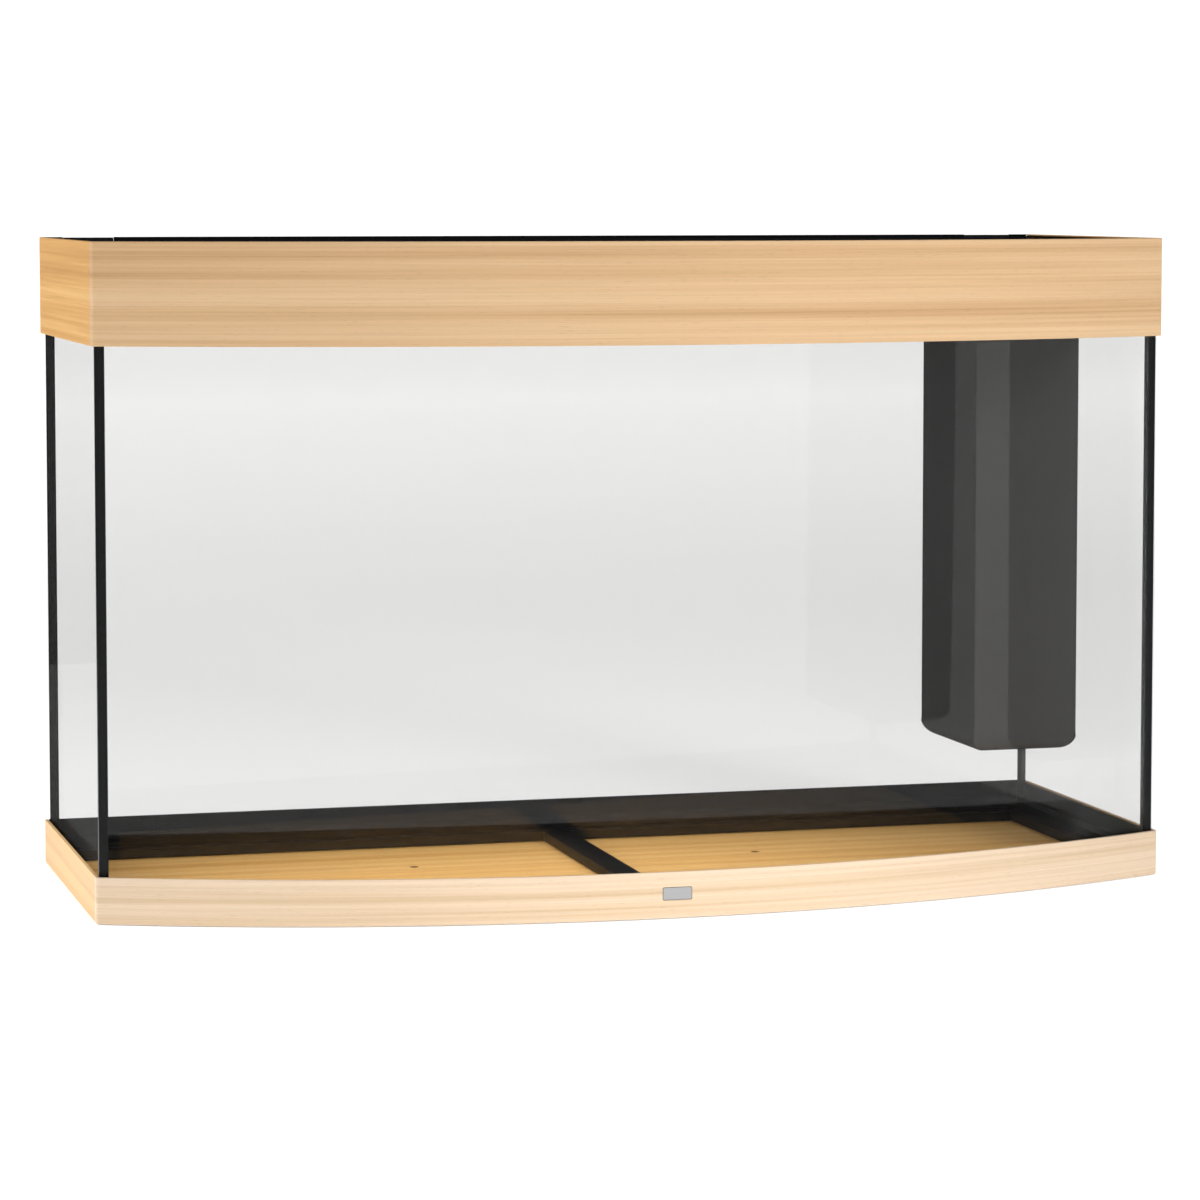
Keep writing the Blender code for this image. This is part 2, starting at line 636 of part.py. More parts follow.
def filter_media():
    """Two slotted baskets, one on the other, each full of sponge."""
    x0, x1 = FILTER_LEFT + FILTER_WALL + MM, FILTER_RIGHT - FILTER_WALL - MM
    y0, y1 = DIVIDER_BACK + MM, FILTER_BACK - FILTER_WALL - MM
    wall = 2 * MM
    for level, (low, high) in SPLITS.items():
        foot = 16 * MM if level == "lower" else 0  # keeps clear of the case's rounded edges
        basket = box(f"filter_basket_{level}", (x0, y0, low + foot), (x1, y1, high), GREY)
        hollow = box(
            f"basket_hollow_{level}",
            (x0 + wall, y0 + wall, low + foot + wall),
            (x1 - wall, y1 - wall, high + MM),
            GREY,
        )
        cut(basket, hollow)
        windows = []
        for share in (0.30, 0.70):
            y = y0 + (y1 - y0) * share
            windows.append(((x0 - MM, y - 14 * MM, low + 30 * MM), (x1 + MM, y + 14 * MM, high - 20 * MM)))
        cut(basket, boxes(f"basket_windows_{level}", windows, GREY))
        floor_slots = [
            ((x0 + 12 * MM, y0 + share * (y1 - y0) - 5 * MM, low + foot - MM),
             (x1 - 12 * MM, y0 + share * (y1 - y0) + 5 * MM, low + foot + wall + MM))
            for share in (0.2, 0.4, 0.6, 0.8)
        ]
        cut(basket, boxes(f"basket_floor_slots_{level}", floor_slots, GREY))
        spare = wall + 0.5 * MM
        box(
            f"filter_sponge_{level}",
            (x0 + spare, y0 + spare, low + foot + spare),
            (x1 - spare, y1 - spare, high - 4 * MM),
            BLUE,
        )


def pump():
    """Motor block, pump chamber with its outlet spigot, rotor on a ceramic shaft, and nozzle."""
    centre = (PUMP_X, PUMP_Y)
    low, high = (PUMP_X - 28 * MM, PUMP_Y - 28 * MM), (PUMP_X + 28 * MM, PUMP_Y + 28 * MM)
    motor = prism("pump_motor", rounded(low, high, (9 * MM,) * 4), VOLUTE_HIGH + GAP, MOTOR_HIGH, BLACK)
    cut(motor, rod("rotor_well", centre, 9.6 * MM, VOLUTE_HIGH - MM, 507 * MM, BLACK))
    cut(motor, rod("shaft_seat_top", centre, 1.8 * MM, 506 * MM, 510 * MM, BLACK, steps=12))

    chamber = rod("pump_chamber", centre, 22 * MM, VOLUTE_LOW, VOLUTE_HIGH, BLACK, steps=32)
    spigot = rod("spigot", (OUTLET_Y, OUTLET_Z), 7.6 * MM, 340 * MM, PUMP_X - 4 * MM, BLACK, "X", 20)
    add(chamber, spigot)
    cut(chamber, rod("volute_hollow", centre, 18 * MM, VOLUTE_LOW + 3 * MM, VOLUTE_HIGH + MM, BLACK))
    cut(chamber, rod("spigot_bore", (OUTLET_Y, OUTLET_Z), 5.6 * MM, 339 * MM, PUMP_X, BLACK, "X", 20))
    inlets = [
        rod("inlet_holes", (PUMP_X + 9 * MM * math.cos(a), PUMP_Y + 9 * MM * math.sin(a)), 3.2 * MM,
            VOLUTE_LOW - MM, VOLUTE_LOW + 4 * MM, BLACK, steps=12)
        for a in (math.radians(d) for d in range(0, 360, 60))
    ]
    cut(chamber, joined(inlets))
    cut(chamber, rod("shaft_seat_low", centre, 1.8 * MM, 456.4 * MM, 459 * MM, BLACK, steps=12))

    rod("pump_shaft", centre, 1.4 * MM, 456.8 * MM, 509.5 * MM, CERAMIC, steps=12)
    rotor = rod("pump_rotor", centre, 8.6 * MM, 474 * MM, 505 * MM, WHITE)
    blades = []
    for step in range(6):
        angle = math.radians(60 * step)
        across = Vector((-math.sin(angle), math.cos(angle))) * 0.8 * MM
        along = Vector((math.cos(angle), math.sin(angle)))
        root, tip = along * 3 * MM, along * 15 * MM
        outline = [tuple(Vector(centre) + p) for p in (root - across, tip - across, tip + across, root + across)]
        blades.append(prism("rotor_blade", outline, 461 * MM, 472 * MM, WHITE))
    for blade in blades:
        add(rotor, blade)
    add(rotor, rod("rotor_hub", centre, 4.5 * MM, 461 * MM, 475 * MM, WHITE))
    cut(rotor, rod("rotor_bore", centre, 1.9 * MM, 460 * MM, 506 * MM, WHITE, steps=12))
    nozzle()


def nozzle():
    """The outlet elbow, which turns on the spigot: a sleeve, then a bend towards the front."""
    inner, outer = 8.0 * MM, 10.0 * MM
    sleeve_end, bend, turn, steps = 334 * MM, 14 * MM, math.radians(55), 6
    spine = [(349.6 * MM, OUTLET_Y, 0.0), (sleeve_end, OUTLET_Y, 0.0)]
    for i in range(1, steps + 1):
        angle = turn * i / steps
        spine.append((sleeve_end - bend * math.sin(angle), OUTLET_Y - bend * (1 - math.cos(angle)), angle))
    tip = Vector((-math.cos(turn), -math.sin(turn))) * 8 * MM
    spine.append((spine[-1][0] + tip.x, spine[-1][1] + tip.y, turn))

    def ring(x, y, angle, radius):
        across = (-math.sin(angle), math.cos(angle))
        return [(x + across[0] * a, y + across[1] * a, OUTLET_Z + b) for a, b in circle((0, 0), radius, 20)]

    outside = [ring(*place, outer) for place in spine]
    inside = [ring(*place, inner) for place in spine[::-1]]
    round_shading(mesh_object("outlet_nozzle", *rings_of(outside + inside, closed=True), BLACK))


def heater():
    """A glass immersion heater with a sealed head and a temperature dial on top."""
    centre = (HEATER_X, HEATER_Y)
    radius = 11 * MM
    levels = [(radius * math.cos(a), 170 * MM - radius * math.sin(a)) for a in (1.35, 0.9, 0.45)]
    levels += [(radius, 170 * MM), (radius, 432 * MM)]
    rings = [[(x, y, z) for x, y in circle(centre, r, 20)] for r, z in levels]
    round_shading(mesh_object("heater_tube", *rings_of(rings, closed=False), CLEAR))
    head = rod("heater_head", centre, 12.5 * MM, 424 * MM, 462 * MM, BLACK, steps=20)
    cut(head, rod("head_socket", centre, radius + 0.4 * MM, 423 * MM, 432.6 * MM, BLACK, steps=20))
    lead = rod("head_gland", (HEATER_X + 14 * MM, HEATER_Y), 4 * MM, 450 * MM, 468 * MM, BLACK, steps=12)
    add(head, lead)
    pin = rod("dial_pin", centre, 3 * MM, 461 * MM, 472 * MM, BLACK, steps=12)
    add(head, pin)
    dial = rod("heater_dial", centre, 9 * MM, 462.5 * MM, 477 * MM, BLUE, steps=24)
    pointer = box(
        "dial_pointer",
        (HEATER_X - 1.2 * MM, HEATER_Y - 9.6 * MM, 476 * MM),
        (HEATER_X + 1.2 * MM, HEATER_Y + 4 * MM, 479 * MM),
        BLUE,
    )
    add(dial, pointer)
    cut(dial, rod("dial_bore", centre, 3.4 * MM, 461 * MM, 473 * MM, BLUE, steps=12))


def clear_scene():
    for old in list(bpy.data.objects):
        bpy.data.objects.remove(old)


clear_scene()
DECOR = finish("light wood decor", (0.68, 0.46, 0.24), 0.5)
BLACK = finish("black moulded plastic", (0.016, 0.016, 0.018), 0.4)
SILVER = finish("satin silver", (0.55, 0.55, 0.56), 0.3, metallic=1.0)
CLEAR = finish("float glass", (0.9, 0.96, 0.94), 0.02, alpha=0.25)
SILICONE = finish("black silicone", (0.01, 0.01, 0.011), 0.35)
STEEL = finish("stainless steel", (0.6, 0.6, 0.6), 0.3, metallic=1.0)
OPAL = finish("opal polycarbonate", (0.85, 0.86, 0.85), 0.3)
GREY = finish("grey plastic", (0.12, 0.12, 0.13), 0.5)
RUBBER = finish("rubber", (0.02, 0.02, 0.02), 0.7)
BLUE = finish("blue filter foam", (0.03, 0.12, 0.33), 0.9)
WHITE = finish("white plastic", (0.75, 0.75, 0.73), 0.45)
CERAMIC = finish("ceramic", (0.85, 0.84, 0.8), 0.25)
TRIM = {"front": DECOR, "left": DECOR, "right": DECOR, "back": BLACK}  # the back is plain

base_frame()
base_trims()
base_panels()
glass_tank()
silicone_seams()
cover_frame()
light_bar()
flaps()
filter_box()
filter_media()
pump()
heater()
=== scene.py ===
"""A bow-front aquarium on its base frame: its visible pieces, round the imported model."""

import math

import bmesh
import bpy
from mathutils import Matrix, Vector


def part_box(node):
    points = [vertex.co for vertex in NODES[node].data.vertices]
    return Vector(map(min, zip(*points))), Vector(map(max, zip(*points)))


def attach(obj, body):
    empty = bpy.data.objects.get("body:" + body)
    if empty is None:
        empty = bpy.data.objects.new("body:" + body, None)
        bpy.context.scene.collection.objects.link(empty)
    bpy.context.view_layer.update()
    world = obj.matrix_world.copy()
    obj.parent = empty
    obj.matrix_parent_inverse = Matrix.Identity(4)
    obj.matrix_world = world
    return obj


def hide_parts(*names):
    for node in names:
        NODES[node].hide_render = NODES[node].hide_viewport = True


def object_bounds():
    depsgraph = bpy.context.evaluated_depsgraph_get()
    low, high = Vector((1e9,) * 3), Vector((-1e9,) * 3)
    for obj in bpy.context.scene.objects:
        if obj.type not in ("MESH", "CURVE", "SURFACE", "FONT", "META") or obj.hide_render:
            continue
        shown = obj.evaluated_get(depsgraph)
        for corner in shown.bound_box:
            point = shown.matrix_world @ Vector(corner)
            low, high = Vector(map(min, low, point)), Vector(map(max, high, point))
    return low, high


bl_info = {
    "name": "Bow-front aquarium",
    "version": (1, 0, 0),
    "blender": (4, 5, 0),
    "location": "View3D > Sidebar > Aquarium",
    "description": "Builds the glass, decor bands, cover, lamp and filter of a bow-front aquarium",
    "category": "Object",
}

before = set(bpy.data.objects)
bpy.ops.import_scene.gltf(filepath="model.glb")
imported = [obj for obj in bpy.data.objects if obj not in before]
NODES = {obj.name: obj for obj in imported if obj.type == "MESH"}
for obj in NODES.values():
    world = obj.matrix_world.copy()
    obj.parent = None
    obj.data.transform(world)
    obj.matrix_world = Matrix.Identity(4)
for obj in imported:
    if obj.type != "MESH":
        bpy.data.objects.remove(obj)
CAD_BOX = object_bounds()
LOW, HIGH = CAD_BOX
MM = 0.001
HALF = HIGH.x
BACK = HIGH.y
BOW_RISE = round(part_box("base_trim_left")[0].y - LOW.y, 3)
BOW_RADIUS = (HALF**2 + BOW_RISE**2) / (2 * BOW_RISE)
BOW_CENTRE = Vector((0, LOW.y + BOW_RADIUS, 0))
UP = Vector((0, 0, 1))
SHY = 0.05 * MM  # kept between faces that would otherwise lie in one plane
SKIN = 1.4 * MM  # wall of the decor strips
LIP = 3.0 * MM  # from their outer face to the end of a lip
LIP_WALL = 1.1 * MM
DEEP = 0.026  # from the bow to the inner edge of the curved rails
HINGES = {"front": -42 * MM, "rear": 62 * MM}  # each hinge rod's place along Y
HINGE_LEVEL = 544 * MM
TUBES = {"front": -11 * MM, "rear": 27 * MM}  # each LED tube's place along Y
TUBE_LEVEL = 0.499
OUTLET = (395 * MM, 440 * MM)  # the inner and outer end of a cable outlet
PLATE = 2.5 * MM  # wall of the flaps, the light bar and the filter case
LAMP_GLAND = (10 * MM, 531 * MM)  # its place along Y and its level
SPIGOT = (0.15, 0.467)  # the outlet's place along Y and its level


# ---------------------------------------------------------------- selection and finishing


def start():
    """Object mode with nothing selected."""
    if bpy.context.object and bpy.context.mode != "OBJECT":
        bpy.ops.object.mode_set(mode="OBJECT")
    bpy.ops.object.select_all(action="DESELECT")


def only(piece):
    """Makes one object the selected and active one."""
    start()
    piece.select_set(True)
    bpy.context.view_layer.objects.active = piece
    return piece


def settle(name):
    """Names the new primitive and puts its place into its mesh."""
    piece = bpy.context.object
    bpy.ops.object.transform_apply(location=True, rotation=True, scale=True)
    piece.name = name
    piece.data.name = name
    return piece


def block(name, low, high):
    """A cube between two corners."""
    start()
    low, high = Vector(low), Vector(high)
    bpy.ops.mesh.primitive_cube_add(size=1, location=(low + high) / 2, scale=high - low)
    return settle(name)


TURNS = {"X": (0, math.pi / 2, 0), "Y": (math.pi / 2, 0, 0), "Z": (0, 0, 0)}


def disc(name, centre, radius, length, axis="Z", steps=48):
    """A cylinder round a centre, along an axis."""
    start()
    bpy.ops.mesh.primitive_cylinder_add(
        vertices=steps, radius=radius, depth=length, location=centre, rotation=TURNS[axis]
    )
    return settle(name)


def span(name, a, b, radius, axis, steps=48):
    """A cylinder from one end's centre to the other's."""
    a, b = Vector(a), Vector(b)
    return disc(name, (a + b) / 2, radius, (b - a).length, axis, steps)


def turned(name, centre, axis, stations, steps=40):
    """A round piece: a disc at the first station, extruded and widened from one to the next. A
    station is its place along the axis and its radius."""
    start()
    step = {"X": Vector((1, 0, 0)), "Y": Vector((0, 1, 0)), "Z": UP}[axis]
    (at, radius), rest = stations[0], stations[1:]
    centre = Vector(centre)
    centre -= step * centre.dot(step)
    bpy.ops.mesh.primitive_circle_add(
        vertices=steps, radius=radius, fill_type="NGON", location=centre + step * at,
        rotation=TURNS[axis],
    )
    piece = settle(name)
    edit(piece)
    bpy.ops.mesh.select_all(action="SELECT")
    for there, wider in rest:
        bpy.ops.mesh.extrude_region_move(TRANSFORM_OT_translate={"value": step * (there - at)})
        across = Vector((1, 1, 1)) * (wider / radius)
        bpy.ops.transform.resize(
            value=across, center_override=centre + step * there,
        )
        at, radius = there, wider
    done(piece)
    return outward(piece)


def edit(piece, kind="FACE"):
    """Edit mode on one piece, choosing corners, edges or faces."""
    only(piece)
    bpy.ops.object.mode_set(mode="EDIT")
    bpy.ops.mesh.select_mode(type=kind)
    return bmesh.from_edit_mesh(piece.data)


def pick(piece, kind, test):
    """Edit mode with just the corners, edges or faces that pass a test selected."""
    shape = edit(piece, kind)
    bpy.ops.mesh.select_all(action="DESELECT")
    items = {"VERT": shape.verts, "EDGE": shape.edges, "FACE": shape.faces}[kind]
    found = [item for item in items if test(item)]
    for item in found:
        item.select_set(True)
    bmesh.update_edit_mesh(piece.data)
    if not found:
        raise RuntimeError(f"nothing of {piece.name} was picked")


def facing(direction):
    """A test for faces that look one way."""
    return lambda face: face.normal.dot(Vector(direction)) >= 0.95


def along(direction, where=lambda middle: True):
    """A test for edges that run along a direction, and whose middle passes a further test."""
    direction = Vector(direction)

    def test(edge):
        a, b = (v.co for v in edge.verts)
        run = (b - a).normalized()
        return abs(run.dot(direction)) > 0.99 and where((a + b) / 2)

    return test


def done(piece):
    """Back to object mode."""
    bpy.ops.object.mode_set(mode="OBJECT")
    return piece


def round_edges(piece, test, width, segments=4):
    """Rounds the edges that pass a test."""
    pick(piece, "EDGE", test)
    bpy.ops.mesh.bevel(offset=width, offset_type="OFFSET", segments=segments, affect="EDGES")
    return done(piece)


def outward(piece, merge=1e-6):
    """Doubles merged and normals pointing out."""
    edit(piece)
    bpy.ops.mesh.select_all(action="SELECT")
    bpy.ops.mesh.remove_doubles(threshold=merge)
    bpy.ops.mesh.normals_make_consistent(inside=False)
    return done(piece)


def modify(piece, kind, **settings):
    """Adds a modifier and applies it."""
    only(piece)
    modifier = piece.modifiers.new(kind.lower(), kind)
    for key, value in settings.items():
        setattr(modifier, key, value)
    bpy.ops.object.modifier_apply(modifier=modifier.name)
    return piece


def carve(piece, *cutters, operation="DIFFERENCE"):
    """Cuts, joins or limits a piece with helpers, which are then gone."""
    for cutter in cutters:
        modify(piece, "BOOLEAN", operation=operation, solver="EXACT", object=cutter)
        bpy.data.objects.remove(cutter)
    return piece


def soften(piece, width=0.5 * MM, segments=2, angle=35, smooth=42):
    """Small rounds on every sharp edge, and smooth shading that leaves broad faces flat."""
    if width:
        modify(
            piece, "BEVEL", width=width, segments=segments, limit_method="ANGLE",
            angle_limit=math.radians(angle), use_clamp_overlap=True,
        )
    only(piece)
    bpy.ops.object.shade_smooth_by_angle(angle=math.radians(smooth))
    modify(piece, "WEIGHTED_NORMAL", keep_sharp=True, weight=60)
    return piece


def bow_limit(inset, low=-0.1, high=0.7):
    """A cylinder round the centre of the bow, which trims a piece to the curve at this inset."""
    radius = BOW_RADIUS - inset
    middle = BOW_CENTRE + UP * (low + high) / 2
    return disc("bow_limit", middle, radius, high - low, steps=1440)


def bow_y(x, inset=0.0):
    """Where the bow, drawn this far inside the front, stands at a place along X."""
    return BOW_CENTRE.y - math.sqrt((BOW_RADIUS - inset) ** 2 - x**2)


def section(name, xs, zs, kept, y=0.0):
    """A flat cross-section across Y: a grid with lines at these places, less the cells not kept."""
    start()
    across, upright = len(xs) - 1, len(zs) - 1
    bpy.ops.mesh.primitive_grid_add(
        x_subdivisions=across, y_subdivisions=upright, size=1, rotation=TURNS["Y"]
    )
    piece = settle(name)
    for i, x in enumerate(xs):
        for j, z in enumerate(zs):
            corner = j * (across + 1) + i
            pick(piece, "VERT", lambda v: v.index == corner)
            here = piece_corner(piece, corner)
            bpy.ops.transform.translate(value=Vector((x, y, z)) - here)
            done(piece)
    kept = set(kept)
    if len(kept) < across * upright:
        cells = {(i, j) for i in range(across) for j in range(upright)} - kept

        def dropped(face):
            middle = face.calc_center_median()
            i = sum(middle.x > x for x in sorted(xs)) - 1
            j = sum(middle.z > z for z in sorted(zs)) - 1
            i = i if xs[0] < xs[-1] else across - 1 - i
            return (i, j) in cells

        pick(piece, "FACE", dropped)
        bpy.ops.mesh.delete(type="FACE")
        done(piece)
    return piece


def piece_corner(piece, index):
    """Where a corner of the mesh in edit mode stands."""
    shape = bmesh.from_edit_mesh(piece.data)
    shape.verts.ensure_lookup_table()
    return shape.verts[index].co.copy()


def carry(piece, *moves):
    """Draws a section along a path: each move is a step, or an angle about an upright centre."""
    edit(piece)
    bpy.ops.mesh.select_all(action="SELECT")
    for move in moves:
        if isinstance(move, Vector):
            bpy.ops.mesh.extrude_region_move(TRANSFORM_OT_translate={"value": move})
        else:
            centre, angle, steps = move
            bpy.ops.mesh.spin(steps=steps, angle=-angle, center=centre, axis=UP)
    done(piece)
    return outward(piece)


def give(piece, material, body, replaced=()):
    """Finish, body, CAD nodes and material slot of a finished piece."""
    piece.data.materials.clear()
    piece.data.materials.append(material)
    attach(piece, body)
    if replaced:
        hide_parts(*replaced)
    return piece


def refinish(material, *names):
    """A better material on CAD nodes whose shape stays."""
    for name in names:
        NODES[name].data.materials.clear()
        NODES[name].data.materials.append(material)


# ---------------------------------------------------------------- materials


def linear(code):
    """sRGB hex to a linear colour."""
    values = [int(code[i : i + 2], 16) / 255 for i in (1, 3, 5)]
    return (*((v / 12.92 if v <= 0.04045 else ((v + 0.055) / 1.055) ** 2.4) for v in values), 1.0)


def add_node(tree, kind, links=None, values=None, **settings):
    """Adds a node, sets its settings and values, and links its inputs to other outputs."""
    made = tree.nodes.new(kind)
    for key, value in settings.items():
        setattr(made, key, value)
    for key, value in (values or {}).items():
        made.inputs[key].default_value = value
    for key, output in (links or {}).items():
        tree.links.new(output, made.inputs[key])
    return made


def new_material(name, **values):
    """A material with one Principled shader, and its tree, shader and object coordinates."""
    material = bpy.data.materials.new(name)
    material.use_nodes = True
    tree = material.node_tree
    shader = tree.nodes["Principled BSDF"]
    for key, value in values.items():
        shader.inputs[key.replace("_", " ").title().replace("Ior", "IOR")].default_value = value
    place = add_node(tree, "ShaderNodeTexCoord").outputs["Object"]
    return material, tree, shader, place


def toned(colour, share):
    """A colour made lighter or darker by a share."""
    return (*(min(1, c * share) for c in colour[:3]), 1.0)


def oak_foil(name, across, tones, gloss=0.42):
    """Light oak foil on a moulded strip: printed straight grain, satin lacquer, pores just felt.
    Broad bands give the eye the boards' figure, fine lines the fibre, short dashes the pores."""
    material, tree, shader, place = new_material(name, roughness=gloss)
    shader.inputs["Specular IOR Level"].default_value = 0.4

    def stretched(length, width, offset=(0, 0, 0)):
        """Coordinates whose pattern is this long with the grain and this wide across it, in mm."""
        scale = [1000 / (width if axis in across else length) for axis in "XYZ"]
        made = add_node(
            tree, "ShaderNodeMapping", {"Vector": place}, {"Scale": scale, "Location": offset}
        )
        return made.outputs["Vector"]

    # figure: bands some 16 mm wide that run the whole length
    wander = add_node(
        tree, "ShaderNodeTexNoise", {"Vector": stretched(1500, 16)},
        {"Scale": 1.0, "Detail": 2.0, "Roughness": 0.55, "Distortion": 0.15},
    ).outputs["Fac"]
    # fibre: lines 2.6 mm apart, coarser than real ones so that they show, and finer ones between
    lines = add_node(
        tree, "ShaderNodeTexNoise", {"Vector": stretched(700, 2.6, (3, 1, 2))},
        {"Scale": 1.0, "Detail": 5.0, "Roughness": 0.62},
    ).outputs["Fac"]
    fine = add_node(
        tree, "ShaderNodeTexNoise", {"Vector": stretched(160, 0.9, (1, 5, 3))},
        {"Scale": 1.0, "Detail": 3.0, "Roughness": 0.6},
    ).outputs["Fac"]
    pores = add_node(
        tree, "ShaderNodeTexNoise", {"Vector": stretched(9, 0.45, (7, 2, 9))},
        {"Scale": 1.0, "Detail": 1.0},
    ).outputs["Fac"]
    mixed = add_node(
        tree, "ShaderNodeMath", {0: wander}, {1: 0.62}, operation="MULTIPLY"
    ).outputs[0]
    mixed = add_node(
        tree, "ShaderNodeMath", {0: lines, 2: mixed}, {1: 0.38}, operation="MULTIPLY_ADD"
    ).outputs[0]
    steps = add_node(tree, "ShaderNodeValToRGB", {"Fac": mixed})
    elements = steps.color_ramp.elements
    while len(elements) < len(tones):
        elements.new(0.5)
    for element, position, code in zip(elements, (0.34, 0.45, 0.53, 0.66), tones):
        element.position = position
        element.color = linear(code)
    colour = steps.outputs["Color"]
    shade = add_node(
        tree, "ShaderNodeMapRange", {"Value": fine}, {1: 0.3, 2: 0.7, 3: 0.93, 4: 1.04}
    ).outputs[0]
    dash = add_node(
        tree, "ShaderNodeMapRange", {"Value": pores}, {1: 0.64, 2: 0.74, 3: 1.0, 4: 0.86}
    ).outputs[0]
    both = add_node(tree, "ShaderNodeMath", {0: shade, 1: dash}, operation="MULTIPLY").outputs[0]
    grey = add_node(
        tree, "ShaderNodeCombineXYZ", {"X": both, "Y": both, "Z": both}
    ).outputs[0]
    final = add_node(
        tree, "ShaderNodeMix", {6: colour, 7: grey}, {0: 1.0}, data_type="RGBA",
        blend_type="MULTIPLY",
    ).outputs[2]
    tree.links.new(final, shader.inputs["Base Color"])
    rough = add_node(
        tree, "ShaderNodeMapRange", {"Value": lines},
        {1: 0.3, 2: 0.7, 3: gloss - 0.05, 4: gloss + 0.07},
    ).outputs[0]
    tree.links.new(rough, shader.inputs["Roughness"])
    bump = add_node(
        tree, "ShaderNodeBump", {"Height": both}, {"Strength": 0.12, "Distance": 0.0002}
    ).outputs[0]
    tree.links.new(bump, shader.inputs["Normal"])
    return material


def moulded(name, code, roughness, grain=0.6, height=0.00006, patch=0.06, **values):
    """Injection-moulded plastic: even colour with faint flow clouding and a fine spark-eroded
    grain, drawn at the given millimetres."""
    material, tree, shader, place = new_material(name, roughness=roughness, **values)
    cloud = add_node(
        tree, "ShaderNodeTexNoise", {"Vector": place}, {"Scale": 14.0, "Detail": 3.0}
    ).outputs["Fac"]
    base = linear(code)
    colour = add_node(
        tree, "ShaderNodeMix", {0: cloud},
        {6: toned(base, 1 - patch), 7: toned(base, 1 + patch)}, data_type="RGBA",
    ).outputs[2]
    tree.links.new(colour, shader.inputs["Base Color"])
    rough = add_node(
        tree, "ShaderNodeMapRange", {"Value": cloud},
        {1: 0.3, 2: 0.7, 3: roughness * 0.9, 4: min(1.0, roughness * 1.12)},
    ).outputs[0]
    tree.links.new(rough, shader.inputs["Roughness"])
    if height:
        speck = add_node(
            tree, "ShaderNodeTexNoise", {"Vector": place}, {"Scale": 1000 / grain, "Detail": 2.0}
        ).outputs["Fac"]
        bump = add_node(
            tree, "ShaderNodeBump", {"Height": speck}, {"Strength": 0.25, "Distance": height}
        ).outputs[0]
        tree.links.new(bump, shader.inputs["Normal"])
    return material


def float_glass(name, code, clear_share):
    """Clear float glass: a faint green-grey body, and it lets lamps through to what stands inside.
    The clear share is what passes with no mirroring, as on glass with a low-reflection coat."""
    material, tree, shader, place = new_material(
        name, roughness=0.0, ior=1.5, transmission_weight=1.0
    )
    tint = linear(code)
    streak = add_node(
        tree, "ShaderNodeTexNoise", {"Vector": place}, {"Scale": 1.6, "Detail": 1.0}
    ).outputs["Fac"]
    colour = add_node(
        tree, "ShaderNodeMix", {0: streak}, {6: toned(tint, 0.992), 7: tint}, data_type="RGBA"
    ).outputs[2]
    tree.links.new(colour, shader.inputs["Base Color"])
    # a pane has two faces, and each takes half of its tint
    face = add_node(tree, "ShaderNodeGamma", {"Color": colour}, {"Gamma": 0.5}).outputs[0]
    clear = add_node(tree, "ShaderNodeBsdfTransparent", {"Color": face})
    rays = add_node(tree, "ShaderNodeLightPath")
    lamp = add_node(
        tree, "ShaderNodeMath",
        {0: rays.outputs["Is Shadow Ray"], 1: rays.outputs["Is Diffuse Ray"]}, operation="MAXIMUM",
    ).outputs[0]
    coated = add_node(
        tree, "ShaderNodeMixShader", {1: shader.outputs[0], 2: clear.outputs[0]},
        {0: clear_share},
    ).outputs[0]
    both = add_node(tree, "ShaderNodeMixShader", {0: lamp, 1: coated, 2: clear.outputs[0]})
    tree.links.new(both.outputs[0], tree.nodes["Material Output"].inputs["Surface"])
    return material


def metal(name, code, roughness, length=40.0, across=0.25, axis=0):
    """Drawn or brushed metal: fine lines along one axis that stretch its highlights."""
    material, tree, shader, place = new_material(name, roughness=roughness, metallic=1.0)
    scale = [1000 / across] * 3
    scale[axis] = 1000 / length
    drawn = add_node(tree, "ShaderNodeMapping", {"Vector": place}, {"Scale": scale}).outputs[0]
    lines = add_node(
        tree, "ShaderNodeTexNoise", {"Vector": drawn}, {"Scale": 1.0, "Detail": 2.0}
    ).outputs["Fac"]
    base = linear(code)
    colour = add_node(
        tree, "ShaderNodeMix", {0: lines},
        {6: toned(base, 0.9), 7: base}, data_type="RGBA",
    ).outputs[2]
    tree.links.new(colour, shader.inputs["Base Color"])
    rough = add_node(
        tree, "ShaderNodeMapRange", {"Value": lines},
        {1: 0.3, 2: 0.7, 3: roughness * 0.8, 4: roughness * 1.25},
    ).outputs[0]
    tree.links.new(rough, shader.inputs["Roughness"])
    return material


def foam(name, code):
    """Open polyurethane filter foam: matt, with pores about 2 mm wide that break up its surface."""
    material, tree, shader, place = new_material(name, roughness=0.95)
    cells = add_node(
        tree, "ShaderNodeTexVoronoi", {"Vector": place}, {"Scale": 1000 / 2.2}
    ).outputs["Distance"]
    base = linear(code)
    shade = add_node(
        tree, "ShaderNodeMix", {0: cells},
        {6: toned(base, 0.35), 7: toned(base, 1.5)}, data_type="RGBA",
    ).outputs[2]
    tree.links.new(shade, shader.inputs["Base Color"])
    bump = add_node(
        tree, "ShaderNodeBump", {"Height": cells}, {"Strength": 0.9, "Distance": 0.001}
    ).outputs[0]
    tree.links.new(bump, shader.inputs["Normal"])
    return material


FINISHES = {}


